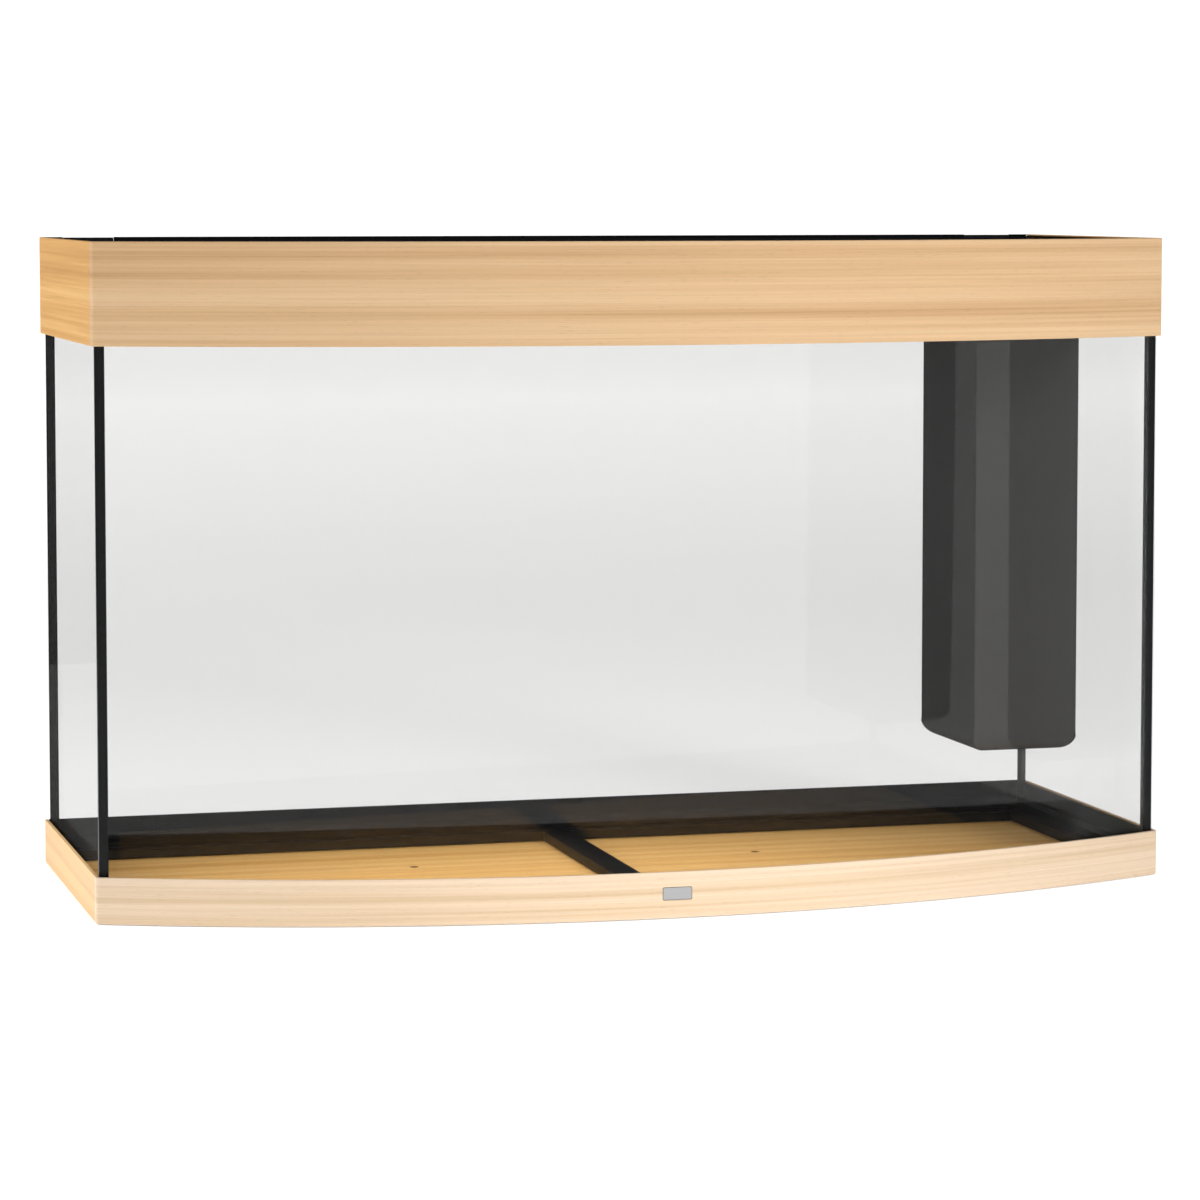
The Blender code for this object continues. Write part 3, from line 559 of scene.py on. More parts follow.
def make_finishes(look):
    """All the finishes, once."""

    def code(colour):
        return "#" + "".join(f"{round(max(0, min(1, c)) * 255):02x}" for c in colour)

    band = ("#c59c6f", "#d7b084", "#dfba8f", "#e7c59b")
    side = ("#d49f62", "#dfab69", "#e7b572", "#eec07d")
    # the base strips' foil, front and sides, is the band's decor painted lighter and whiter: a
    # painted highlight
    strip = ("#ceb28e", "#dbc1a1", "#e3cbb0", "#ead5bd")
    strip_side = ("#cf9f63", "#ddb073", "#e5ba7f", "#ecc48c")
    deck = ("#dca052", "#efb463", "#f8c276", "#fccc84")
    FINISHES.update(
        band_x=oak_foil("light oak foil, front", "Z", band),
        band_y=oak_foil("light oak foil, sides", "Z", side),
        strip_x=oak_foil("bleached oak foil, front", "Z", strip),
        strip_y=oak_foil("bleached oak foil, sides", "Z", strip_side),
        deck=oak_foil("light oak foil board", "YZ", deck, 0.5),
        rail=moulded("black ABS, satin moulded", "#131314", 0.5, specular_ior_level=0.14),
        cover=moulded(
            "black ABS, gloss moulded", "#1e2227", 0.14, height=0, specular_ior_level=0.55,
        ),
        case=moulded(
            "charcoal ABS, fine textured", code(look.filter_colour), 0.75, grain=0.8,
            specular_ior_level=0.0,
        ),
        # the side walls of the case, given a deeper tone than its front: painted shade, where less
        # light falls on them
        case_side=moulded(
            "charcoal ABS, side wall with painted shade", "#1d1d1e", 0.75, grain=0.8, specular_ior_level=0.0,
        ),
        silicone=moulded(
            "black acetoxy silicone", "#0d0e10", 0.35, grain=9.0, height=0.0002,
            specular_ior_level=0.25,
        ),
        basket=moulded("grey polypropylene", "#4a4c4f", 0.5),
        white=moulded("white POM", "#dcdcd6", 0.4),
        opal=moulded(
            "opal polycarbonate", "#eef0ee", 0.35, height=0, subsurface_weight=0.15,
        ),
        dial=moulded("blue polycarbonate", "#2c5fa8", 0.3),
        gland=moulded("black EPDM rubber", "#18181a", 0.65),
        board=moulded("grey potted driver case", "#6b6e72", 0.45),
        ceramic=moulded("sintered alumina", "#ece9e0", 0.2, height=0),
        reflector=moulded("white ABS, gloss moulded", "#e9ebea", 0.25, height=0),
        glass=float_glass("clear float glass, wall", code(look.glass_colour), 0.965),
        glass_floor=float_glass("clear float glass, floor", "#fbfcfc", 0.985),
        tube=float_glass("borosilicate tube", "#eef2f0", 0.0),
        steel=metal("drawn stainless steel", "#b9babb", 0.25),
        badge=metal("brushed aluminium", "#cfd0d3", 0.5),
        extrusion=metal("anodised aluminium", "#c2c4c6", 0.35),
        foam=foam("blue filter foam", "#2f6fb0"),
        coarse=foam("black carbon foam", "#26282a"),
    )


# ---------------------------------------------------------------- sizes and colours


class AquariumSizes(bpy.types.PropertyGroup):
    """Sizes that shape the visible pieces."""

    corner: bpy.props.FloatProperty(
        name="Band corner", description="Radius where the band turns from the front to a side",
        default=4 * MM, min=2 * MM, unit="LENGTH",
    )
    edge: bpy.props.FloatProperty(
        name="Edge round", description="Radius on the long edges of the decor bands",
        default=0.7 * MM, min=0.1 * MM, unit="LENGTH",
    )
    polish: bpy.props.FloatProperty(
        name="Glass edge", description="Chamfer ground on the edges of the panes",
        default=0.7 * MM, min=0.1 * MM, unit="LENGTH",
    )
    filter_round: bpy.props.FloatProperty(
        name="Filter round", description="Radius of the lower edges of the filter case",
        default=15 * MM, min=2 * MM, unit="LENGTH",
    )


class AquariumLook(bpy.types.PropertyGroup):
    """Colours that a user would change."""

    glass_colour: bpy.props.FloatVectorProperty(
        name="Glass", description="What one pane lets through", subtype="COLOR_GAMMA", size=3,
        default=(0.925, 0.927, 0.927), min=0, max=1,
    )
    filter_colour: bpy.props.FloatVectorProperty(
        name="Filter case", description="Colour of the filter case", subtype="COLOR_GAMMA", size=3,
        default=(0.27, 0.27, 0.272), min=0, max=1,
    )


def sizes():
    """The sizes in the sidebar."""
    return bpy.context.scene.aquarium_sizes


# ---------------------------------------------------------------- tank


class TANK_OT_panes(bpy.types.Operator):
    """Front, back, side and floor panes, and the brace"""

    bl_idname = "aquarium.panes"
    bl_label = "Panes"

    def execute(self, context):
        polish = sizes().polish
        for name in ("glass_back", "glass_left", "glass_right"):
            pane = block(f"{name}_pane", *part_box(name))
            soften(pane, polish, 1, smooth=15)
            give(pane, FINISHES["glass"], "tank", [name])
        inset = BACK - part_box("glass_back")[1].y
        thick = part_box("glass_back")[1].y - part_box("glass_back")[0].y
        low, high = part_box("glass_front")
        reach = high.x
        front = block("glass_front_pane", (-reach, LOW.y, low.z), (reach, high.y + 0.02, high.z))
        carve(front, bow_limit(inset), operation="INTERSECT")
        carve(front, bow_limit(inset + thick, low.z - 0.01, high.z + 0.01))
        soften(front, polish, 1, 50, 15)
        give(front, FINISHES["glass"], "tank", ["glass_front"])
        joint = 1.5 * MM
        for name in ("glass_floor", "glass_brace"):
            low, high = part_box(name)
            pane = block(f"{name}_pane", low - Vector((0, 0.05, 0)), high)
            carve(pane, bow_limit(inset + thick + joint), operation="INTERSECT")
            soften(pane, polish, 1, 50, 15)
            give(pane, FINISHES["glass_floor"], "tank", [name])
        return {"FINISHED"}


class TANK_OT_seams(bpy.types.Operator):
    """Silicone up the corners, tooled to a hollow fillet"""

    bl_idname = "aquarium.seams"
    bl_label = "Seams"

    def execute(self, context):
        for side in ("left", "right"):
            for end in ("front", "back"):
                name = f"seam_{end}_{side}"
                low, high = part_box(name)
                seam = block(f"{name}_bead", low, high)
                inward = 1 if side == "left" else -1
                deep = 1 if end == "front" else -1
                inner_x = high.x if inward > 0 else low.x
                inner_y = high.y if deep > 0 else low.y
                leg = 1.5 * MM
                # the hollow is scooped out where neither pane backs the bead
                glass = abs(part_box("glass_left")[1].x)
                scoop_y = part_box("glass_left")[0].y if deep > 0 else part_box("glass_left")[1].y
                x0, x1 = sorted((inward * -(glass - 0.3 * MM), inner_x + inward * 2 * MM))
                y0, y1 = sorted((scoop_y + deep * leg, inner_y + deep * 2 * MM))
                carve(seam, block("pane_room", (x0, y0, 0), (x1, y1, 1)))
                x0, x1 = sorted((inward * -glass + inward * leg, inner_x + inward * 2 * MM))
                if end == "back":
                    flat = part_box("glass_back")[0].y - 0.3 * MM - leg
                    carve(seam, block("corner_room", (x0, -1, 0), (x1, flat, 1)))
                outer_x = inward * -(glass + 0.2 * MM)
                x0, x1 = sorted((outer_x, outer_x - inward * 0.02))
                y0, y1 = sorted((scoop_y + deep * 0.2 * MM, inner_y + deep * 2 * MM))
                carve(seam, block("side_room", (x0, y0, 0), (x1, y1, 1)))
                soften(seam, 0.35 * MM, 2)
                give(seam, FINISHES["silicone"], "tank", [name])
        refinish(FINISHES["silicone"], "seam_floor")
        return {"FINISHED"}


def strip_profile(name, sign, low, high, lips, y):
    """The cross-section of a strip: its skin, with lips turned in along its edges."""
    xs = [sign * HALF, sign * (HALF - SKIN), sign * (HALF - LIP)]
    zs = [low, low + LIP_WALL, high - LIP_WALL, high]
    kept = [(0, 0), (0, 1), (0, 2)]
    kept += [(1, row) for row, edge in ((0, "low"), (2, "high")) if edge in lips]
    return section(name, xs, zs, kept, y)


def decor_front(name, low, high, lips):
    """A front strip with its lips, drawn round both corners: a foil-wrapped moulding. Returns it,
    and where its ends stand along Y."""
    corner = sizes().corner
    reach, straight = HALF - corner, 7 * MM
    right = Vector((reach, bow_y(reach, corner), 0))
    left = Vector((-right.x, right.y, 0))
    swing = math.asin(reach / (BOW_RADIUS - corner))
    turn = math.pi / 2 - swing
    end = right.y + straight
    strip = strip_profile(name, -1, low, high, lips, end)
    carry(
        strip,
        Vector((0, -straight, 0)),
        (left, turn, 10),
        (BOW_CENTRE, 2 * swing, 120),
        (right, turn, 10),
        Vector((0, straight, 0)),
    )
    return strip, end


def decor_side(name, side, low, high, lips, near):
    """A straight side strip from the front strip's end to the back corner."""
    strip = strip_profile(name, -1 if side == "left" else 1, low, high, lips, near)
    return carry(strip, Vector((0, BACK - 0.2 * MM - near, 0)))


class TANK_OT_bands(bpy.types.Operator):
    """Wood-decor bands round the cover and the base, with plain black ones at the back"""

    bl_idname = "aquarium.bands"
    bl_label = "Decor bands"

    def execute(self, context):
        edge = sizes().edge
        rows = (("cover", "band", ("low", "high")), ("base", "strip", ("high",)))
        for part, finish, lips in rows:
            low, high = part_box(f"{part}_trim_front")
            front, near = decor_front(f"{part}_band_front", low.z, high.z, lips)
            if part == "base":
                self.badge(front)
            soften(front, edge, 3)
            give(front, FINISHES[f"{finish}_x"], "tank", [f"{part}_trim_front"])
            for side in ("left", "right"):
                band = decor_side(
                    f"{part}_band_{side}", side, low.z, high.z, lips, near + 0.15 * MM
                )
                soften(band, edge, 3)
                give(band, FINISHES[f"{finish}_y"], "tank", [f"{part}_trim_{side}"])
            self.back(part, lips)
        return {"FINISHED"}

    def badge(self, front):
        """A blank plate let into the front strip, in a recess with rounded corners."""
        low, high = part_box("badge")
        gap = 0.3 * MM
        recess = block(
            "recess", low - Vector((gap, 2 * MM, gap)), high + Vector((gap, 1.5 * MM, gap))
        )
        round_edges(recess, along((0, 1, 0)), 1.3 * MM, 4)
        carve(front, recess)
        plate = block("badge_plate", low, high)
        round_edges(plate, along((0, 1, 0)), 1.1 * MM, 4)
        pick(plate, "FACE", facing((0, -1, 0)))
        bpy.ops.mesh.inset(thickness=0.8 * MM)
        bpy.ops.transform.translate(value=(0, 0.15 * MM, 0))
        done(plate)
        soften(plate, 0.15 * MM, 2)
        give(plate, FINISHES["badge"], "tank", ["badge"])

    def back(self, part, lips):
        """The plain black strip between the side strips."""
        node = f"{part}_trim_back"
        low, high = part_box(node)
        reach = HALF - 3.3 * MM
        strip = block(f"{part}_band_back", (-reach, BACK - SKIN, low.z), (reach, BACK, high.z))
        if "high" in lips:
            lip = block(
                "lip", (-reach, BACK - LIP, high.z - LIP_WALL), (reach, BACK - 1.3 * MM, high.z)
            )
            carve(strip, lip, operation="UNION")
        if part == "cover":
            for side, sign in (("left", -1), ("right", 1)):
                x0, x1 = sorted(sign * x for x in OUTLET)
                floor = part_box("cover_rail_back")[1].z - 10.1 * MM
                self.cable_seal(side, Vector((x0, BACK, floor)), Vector((x1, BACK, high.z)))
                notch = block("notch", (x0, BACK - 0.02, floor), (x1, BACK + 0.02, high.z + 0.02))
                round_edges(notch, along((0, 1, 0), lambda m: m.z < high.z), 3 * MM, 4)
                carve(strip, notch)
        soften(strip, 0.5 * MM, 2)
        give(strip, FINISHES["rail"], "tank", [node])

    def cable_seal(self, side, low, high):
        """A soft lip in a cable outlet, scored at the back so that it tears open for a cable."""
        gap = 0.4 * MM
        seal = block(
            f"cable_seal_{side}",
            low + Vector((gap, -1.3 * MM, gap)), high + Vector((-gap, -0.3 * MM, -gap)),
        )
        round_edges(seal, along((0, 1, 0), lambda m: m.z < high.z - 5 * MM), 2.6 * MM, 4)
        for step in range(1, 6):
            x = low.x + (high.x - low.x) * step / 6
            score = block(
                "score", (x - 0.3 * MM, low.y - 0.7 * MM, low.z + 2.5 * MM),
                (x + 0.3 * MM, low.y, high.z + 0.01),
            )
            carve(seal, score)
        soften(seal, 0.2 * MM, 2)
        give(seal, FINISHES["gland"], "tank")


def bow_rail(name, insets, zs, kept, node):
    """A curved rail behind the front strip, cut off at both mitres."""
    swing = math.asin(HALF / BOW_RADIUS) + 0.01
    xs = [BOW_RADIUS - inset for inset in insets]
    rail = section(name, xs, zs, kept, 0.0)
    only(rail)
    rail.location = BOW_CENTRE
    rail.rotation_euler = (0, 0, -math.pi / 2 - swing)
    bpy.ops.object.transform_apply(location=True, rotation=True, scale=True)
    carry(rail, (BOW_CENTRE, 2 * swing, 120))
    for sign in (-1, 1):
        outer = Vector((sign * HALF, bow_y(HALF), 0))
        inner = Vector((sign * (HALF - DEEP), bow_y(HALF - DEEP, DEEP), 0))
        run = (inner - outer).normalized()
        normal = Vector((-run.y, run.x, 0)) * sign
        if normal.x * sign < 0:
            normal = -normal
        edit(rail)
        bpy.ops.mesh.select_all(action="SELECT")
        bpy.ops.mesh.bisect(
            plane_co=outer - normal * 0.3 * MM, plane_no=normal, use_fill=True, clear_outer=True
        )
        done(rail)
    outward(rail)
    soften(rail, 0.3 * MM, 2)
    return give(rail, FINISHES["rail"], "tank", [node])


class TANK_OT_frames(bpy.types.Operator):
    """The black frames under and over the glass, the strut, the boards and their plugs"""

    bl_idname = "aquarium.frames"
    bl_label = "Frames"

    def execute(self, context):
        low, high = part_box("base_rail_front")
        wall, ledge_low, ledge = 1.7 * MM, 3.6 * MM, 12 * MM
        bow_rail(
            "base_frame_front",
            [wall, 3 * MM, 16 * MM, 22 * MM],
            [low.z, ledge_low, ledge, high.z],
            [(0, 0), (1, 0), (0, 1), (1, 1), (2, 1), (0, 2)],
            "base_rail_front",
        )
        low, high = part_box("cover_rail_front")
        bow_rail(
            "cover_frame_front",
            [wall, 3 * MM, 9.6 * MM, 12.1 * MM, 24 * MM, DEEP],
            [low.z, 520 * MM, 529 * MM, 534.3 * MM, 538.3 * MM, high.z],
            [(0, j) for j in range(5)] + [(i, 3) for i in range(1, 5)]
            + [(2, 1), (2, 2), (4, 2)],
            "cover_rail_front",
        )
        sides = ("back", "left", "right")
        refinish(FINISHES["rail"], "base_strut", *(f"base_rail_{s}" for s in sides))
        refinish(FINISHES["rail"], *(f"cover_rail_{s}" for s in sides))
        refinish(FINISHES["deck"], "base_panel_left", "base_panel_right")
        for side in ("left", "right"):
            low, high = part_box(f"panel_plug_{side}")
            middle = (low + high) / 2
            plug = disc(f"plug_{side}", middle, (high.x - low.x) / 2, high.z - low.z, steps=32)
            pick(plug, "FACE", facing(UP))
            bpy.ops.mesh.inset(thickness=1.4 * MM)
            bpy.ops.transform.translate(value=(0, 0, -0.8 * MM))
            done(plug)
            soften(plug, 0.3 * MM, 2)
            give(plug, FINISHES["gland"], "tank", [f"panel_plug_{side}"])
        return {"FINISHED"}


# ---------------------------------------------------------------- cover


def eye_span(piece, y, z, x0, x1, radius, reach, low, high):
    """Adds a hinge eye with an arm that runs from it to the plate or the bar."""
    eye = span("eye", (x0, y, z), (x1, y, z), radius, "X", 32)
    y0, y1 = sorted((y, y + reach))
    arm = block("arm", (x0 + SHY, y0, low), (x1 - SHY, y1, high))
    carve(piece, eye, arm, operation="UNION")


class TANK_OT_flaps(bpy.types.Operator):
    """Four gloss black cover flaps, with skirts, finger and cable notches and hinge knuckles"""

    bl_idname = "aquarium.flaps"
    bl_label = "Cover flaps"

    def execute(self, context):
        for place in ("front", "rear"):
            for side in ("left", "right"):
                self.flap(place, side)
        return {"FINISHED"}

    def flap(self, place, side):
        node = f"flap_{place}_{side}"
        low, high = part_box(node)
        sign = -1 if side == "left" else 1
        front = place == "front"
        towards = -1 if front else 1
        hinge, z = HINGES[place], HINGE_LEVEL
        line = hinge + towards * 3.4 * MM
        skirt = 2 * MM
        y0, y1 = (low.y - 0.02, line) if front else (line, high.y)
        flap = block(f"{node}_cover", (low.x, y0, low.z), (high.x, y1, high.z))
        room_y = (y0 - 0.02, line + 0.02) if front else (line - 0.02, high.y - skirt)
        room = block(
            "room", (low.x + skirt, room_y[0], low.z - 0.01),
            (high.x - skirt, room_y[1], high.z - PLATE),
        )
        if front:
            carve(flap, bow_limit(5 * MM), operation="INTERSECT")
            carve(room, bow_limit(7 * MM), operation="INTERSECT")
        carve(flap, room)
        middle = sign * 227.5 * MM
        if front:
            edge = bow_y(middle, 5 * MM)
            x0, x1 = middle - 35 * MM, middle + 35 * MM
        else:
            edge = high.y
            x0, x1 = sorted(sign * x for x in OUTLET)
        notch = block("notch", (x0, edge - 0.014, 0.5), (x1, edge + 0.014, 0.6))
        round_edges(notch, along(UP, lambda m: (m.y - edge) * towards < 0), 8 * MM, 6)
        carve(flap, notch)
        for a, b in ((30, 190), (270, 430)):
            x0, x1 = sorted((sign * a * MM, sign * b * MM))
            eye_span(flap, hinge, z, x0, x1, 3 * MM, towards * 4.2 * MM, high.z - PLATE, high.z)
        bore = span("bore", (low.x - 0.01, hinge, z), (high.x + 0.01, hinge, z), 1.9 * MM, "X", 32)
        carve(flap, bore)
        soften(flap, 0.45 * MM, 2, 50)
        give(flap, FINISHES["cover"], f"{node}_lid", [node])


class TANK_OT_light_bar(bpy.types.Operator):
    """The bar across the tank: housing, lower cover, lamp sockets, tubes, driver and hinge rods"""

    bl_idname = "aquarium.light_bar"
    bl_label = "Light bar"

    def execute(self, context):
        low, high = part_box("light_bar_housing")
        y0, y1 = -37.6 * MM, 57.6 * MM
        body = 430 * MM
        bar = block("light_bar", (-body, y0, low.z), (body, y1, high.z))
        hollow = block(
            "hollow", (PLATE - body, y0 + PLATE, low.z - 0.01),
            (body - PLATE, y1 - PLATE, high.z - PLATE),
        )
        carve(bar, hollow)
        for x0, x1 in ((low.x, MM - body), (body - MM, high.x)):
            tab = block("tab", (x0, y0 + SHY, 538.6 * MM), (x1, y1 - SHY, high.z - SHY))
            carve(bar, tab, operation="UNION")
        # the eyes stand in the gaps between the flaps' own
        z = HINGE_LEVEL
        spans = [(-454.5, -430.5), (-269.5, -190.5), (-29.5, 29.5), (190.5, 269.5), (430.5, 454.5)]
        for y, towards in zip(HINGES.values(), (1, -1)):
            for a, b in spans:
                eye_span(bar, y, z, a * MM, b * MM, 3 * MM, towards * 5 * MM, z - 2.6 * MM, z + MM)
        for y in HINGES.values():
            carve(bar, span("bore", (-0.47, y, z), (0.47, y, z), 1.8 * MM, "X", 32))
        # two shallow flutes along the top stiffen it
        for y in (-14 * MM, 34 * MM):
            flute = block(
                "flute", (-410 * MM, y - 3 * MM, high.z - 0.7 * MM),
                (410 * MM, y + 3 * MM, high.z + MM),
            )
            round_edges(flute, along(UP), 2.9 * MM, 5)
            carve(bar, flute)
        carve(bar, span("hole", (0.42, *LAMP_GLAND), (0.44, *LAMP_GLAND), 5.3 * MM, "X", 32))
        soften(bar, 0.5 * MM, 2, 50)
        give(bar, FINISHES["cover"], "light_unit", ["light_bar_housing"])
        for place, y in HINGES.items():
            rod = span(f"hinge_pin_{place}", (-0.452, y, z), (0.452, y, z), 1.5 * MM, "X", 24)
            soften(rod, 0.3 * MM, 2)
            give(rod, FINISHES["steel"], "light_unit", [f"hinge_rod_{place}"])
        self.cover()
        self.lamps()
        self.gland()
        refinish(FINISHES["board"], "led_driver")
        return {"FINISHED"}

    def cover(self):
        """The white lower cover that throws the light down, with a shallow trough for each tube."""
        low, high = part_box("light_bar_cover")
        lid = block("lamp_reflector", low, high)
        level = low.z - 9.2 * MM
        for y in TUBES.values():
            carve(lid, span("trough", (-0.345, y, level), (0.345, y, level), 10.5 * MM, "X", 64))
        soften(lid, 0.3 * MM, 2)
        give(lid, FINISHES["reflector"], "light_unit", ["light_bar_cover"])

    def lamps(self):
        """The socket blocks, and two LED tubes: an opal lens on a metal spine, with ribbed caps."""
        for side, sign in (("left", -1), ("right", 1)):
            node = f"lamp_socket_{side}"
            low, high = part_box(node)
            socket = block(f"{node}_block", low, high)
            round_edges(socket, along((1, 0, 0), lambda m: m.z < low.z + MM), 8 * MM, 6)
            x0, x1 = sorted((sign * 0.350, sign * 0.372))
            for y in TUBES.values():
                ends = (x0, y, TUBE_LEVEL), (x1, y, TUBE_LEVEL)
                carve(socket, span("bore", *ends, 8.4 * MM, "X", 40))
            soften(socket, 0.5 * MM, 2)
            give(socket, FINISHES["rail"], "light_unit", [node])
        for place, y in TUBES.items():
            centre = Vector((0, y, TUBE_LEVEL))
            glow = disc(f"led_tube_{place}_lens", centre, 7.8 * MM, 690 * MM, "X", 48)
            soften(glow, 0.3 * MM, 2)
            give(glow, FINISHES["opal"], "light_unit", [f"led_tube_{place}"])
            back = disc(f"led_tube_{place}_spine", centre, 8.0 * MM, 689 * MM, "X", 48)
            carve(back, block("below", (-0.4, y - 0.02, 0.48), (0.4, y + 0.02, 0.4995)))
            carve(back, disc("core", centre, 7.9 * MM, 0.8, "X", 48))
            soften(back, 0)
            give(back, FINISHES["extrusion"], "light_unit", [])
            for side, sign in (("left", -1), ("right", 1)):
                stations = [(0.3452, 8.0)]
                for k in range(3):
                    x = 0.3468 + 0.0022 * k
                    stations += [(x, 8.0), (x + 0.0003, 7.4), (x + 0.0011, 7.4), (x + 0.0014, 8.0)]
                stations += [(0.371, 8.0)]
                cap = turned(
                    f"led_tube_{place}_cap_{side}", centre, "X",
                    [(sign * x, r * MM) for x, r in stations],
                )
                soften(cap, 0.25 * MM, 2)
                give(cap, FINISHES["basket"], "light_unit", [])

    def gland(self):
        """The cable gland in the end of the bar, with its flange and nut."""
        low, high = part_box("light_cable_gland")
        y, z = LAMP_GLAND
        gland = span("lamp_gland", (low.x, y, z), (high.x, y, z), 5 * MM, "X", 40)
        flange = span("flange", (430.4 * MM, y, z), (432.3 * MM, y, z), 7 * MM, "X", 40)
        nut = span("nut", (423 * MM, y, z), (427.1 * MM, y, z), 6.9 * MM, "X", 6)
        carve(gland, flange, nut, operation="UNION")
        carve(gland, span("bore", (0.42, y, z), (0.44, y, z), 2.6 * MM, "X", 32))
        soften(gland, 0.3 * MM, 2)
        give(gland, FINISHES["gland"], "light_unit", ["light_cable_gland"])


# ---------------------------------------------------------------- filter


class TANK_OT_filter(bpy.types.Operator):
    """The filter case in the corner, its divider, baskets and sponges"""

    bl_idname = "aquarium.filter"
    bl_label = "Filter"

    def execute(self, context):
        low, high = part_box("filter_box")
        wall, radius = PLATE, sizes().filter_round
        case = self.shell("filter_case", low, high, radius, 2.5 * MM)
        room = self.shell(
            "room", low + Vector((wall, wall, wall)), high + Vector((-wall, -wall, 0.01)),
            radius - wall, MM,
        )
        carve(case, room)
        middle = (low.x + high.x) / 2
        for step in range(-3, 4):
            x = middle + step * 11 * MM
            x0, x1 = x - 2.2 * MM, x + 2.2 * MM
            slot = block("slot", (x0, low.y - 0.01, 0.46), (x1, low.y + 0.01, 0.486))
            round_edges(slot, along((0, 1, 0)), 2.1 * MM, 4)
            carve(case, slot)
            if abs(step) < 3:
                slot = block("slot", (x0, 0.068, low.z - 0.01), (x1, 0.084, low.z + 0.01))
                round_edges(slot, along(UP), 2.1 * MM, 4)
                carve(case, slot)
        ends = (low.x - 0.01, *SPIGOT), (low.x + 0.01, *SPIGOT)
        hole = span("hole", *ends, 9 * MM, "X", 48)
        carve(case, hole)
        soften(case, 0.5 * MM, 2, 40)
        give(case, FINISHES["case"], "tank", ["filter_box"])
        case.data.materials.append(FINISHES["case_side"])
        # faces that look along X take the darker side-wall tone: painted shade
        for face in case.data.polygons:
            face.material_index = int(abs(face.normal.x) > 0.6)
        x0, x1 = low.x + wall + 0.1 * MM, high.x - wall - 0.1 * MM
        divider = block("filter_divider", (x0, 0.088, 0.15), (x1, 0.0905, 0.48))
        for z in (0.2, 0.3, 0.4):
            rib = block("rib", (low.x + 8 * MM, 0.0872, z), (high.x - 8 * MM, 0.089, z + 3 * MM))
            carve(divider, rib, operation="UNION")
        soften(divider, 0.4 * MM, 2)
        give(divider, FINISHES["case"], "tank", [])
        refinish(FINISHES["basket"], "filter_basket_lower", "filter_basket_upper")
        for level, finish in (("lower", "coarse"), ("upper", "foam")):
            node = f"filter_sponge_{level}"
            sponge = block(f"{node}_block", *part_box(node))
            edit(sponge)
            bpy.ops.mesh.select_all(action="SELECT")
            bpy.ops.mesh.subdivide(number_cuts=24)
            done(sponge)
            clouds = bpy.data.textures.new(f"{node} pores", "CLOUDS")
            clouds.noise_scale = 4 * MM
            modify(
                sponge, "DISPLACE", texture=clouds, strength=-1.2 * MM, mid_level=0.0,
                texture_coords="LOCAL",
            )
            soften(sponge, 0)
            give(sponge, FINISHES[finish], "tank", [node])
        return {"FINISHED"}

    def shell(self, name, low, high, radius, small):
        """A block with rounded lower edges and slightly rounded uprights."""
        made = block(name, low, high)
        round_edges(made, lambda e: all(abs(v.co.z - low.z) < 1e-5 for v in e.verts), radius, 8)
        outward(made)
        tall = high.z - low.z - 2 * radius
        round_edges(made, lambda e: along(UP)(e) and e.calc_length() > tall, small, 3)
        return outward(made)


class TANK_OT_pump(bpy.types.Operator):
    """Pump motor, chamber, rotor, shaft and the swivelling outlet"""

    bl_idname = "aquarium.pump"
    bl_label = "Pump"

    def execute(self, context):
        low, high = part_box("pump_motor")
        x, y = (low.x + high.x) / 2, (low.y + high.y) / 2
        motor = block("pump_motor_block", low, high)
        round_edges(motor, along(UP), 9 * MM, 6)
        pick(motor, "FACE", facing(UP))
        bpy.ops.mesh.inset(thickness=3 * MM)
        bpy.ops.transform.translate(value=(0, 0, -1.2 * MM))
        done(motor)
        for z in (0.484, 0.491, 0.498):
            for sx in (-1, 1):
                wall = x + sx * 28 * MM
                groove = block(
                    "groove", (wall - 0.6 * MM, low.y + 12 * MM, z),
                    (wall + 0.6 * MM, high.y - 12 * MM, z + 2 * MM),
                )
                carve(motor, groove)
        carve(motor, span("well", (x, y, low.z - 0.01), (x, y, 0.507), 9.6 * MM, "Z"))
        carve(motor, span("seat", (x, y, 0.506), (x, y, 0.510), 1.8 * MM, "Z", 24))
        soften(motor, 0.4 * MM, 2)
        give(motor, FINISHES["rail"], "tank", ["pump_motor"])
        refinish(FINISHES["rail"], "pump_chamber")
        refinish(FINISHES["ceramic"], "pump_shaft")
        refinish(FINISHES["white"], "pump_rotor")
        self.nozzle()
        return {"FINISHED"}

    def nozzle(self):
        """The outlet elbow: a ring drawn along the spigot and turned towards the front."""
        y, z = SPIGOT
        bend = math.radians(55)
        start()
        bpy.ops.mesh.primitive_cylinder_add(
            vertices=40, radius=10 * MM, depth=0.2 * MM, end_fill_type="NGON",
            location=(0.3495, y, z), rotation=TURNS["X"],
        )
        nozzle = settle("outlet_elbow")
        pick(nozzle, "FACE", lambda f: f.normal.x < -0.9 and len(f.verts) > 8)
        bpy.ops.mesh.extrude_region_move(TRANSFORM_OT_translate={"value": (-15.4 * MM, 0, 0)})
        bpy.ops.mesh.spin(steps=10, angle=-bend, center=(0.334, y - 14 * MM, z), axis=UP)
        reach = Vector((-math.cos(bend), -math.sin(bend), 0)) * 8 * MM
        bpy.ops.mesh.extrude_region_move(TRANSFORM_OT_translate={"value": reach})
        bpy.ops.mesh.delete(type="ONLY_FACE")
        done(nozzle)
        pick(nozzle, "FACE", lambda f: f.normal.x > 0.9 and len(f.verts) > 8)
        bpy.ops.mesh.delete(type="ONLY_FACE")
        done(nozzle)
        outward(nozzle)
        modify(nozzle, "SOLIDIFY", thickness=2 * MM, offset=-1)
        soften(nozzle, 0.35 * MM, 2)
        give(nozzle, FINISHES["rail"], "nozzle", ["outlet_nozzle"])


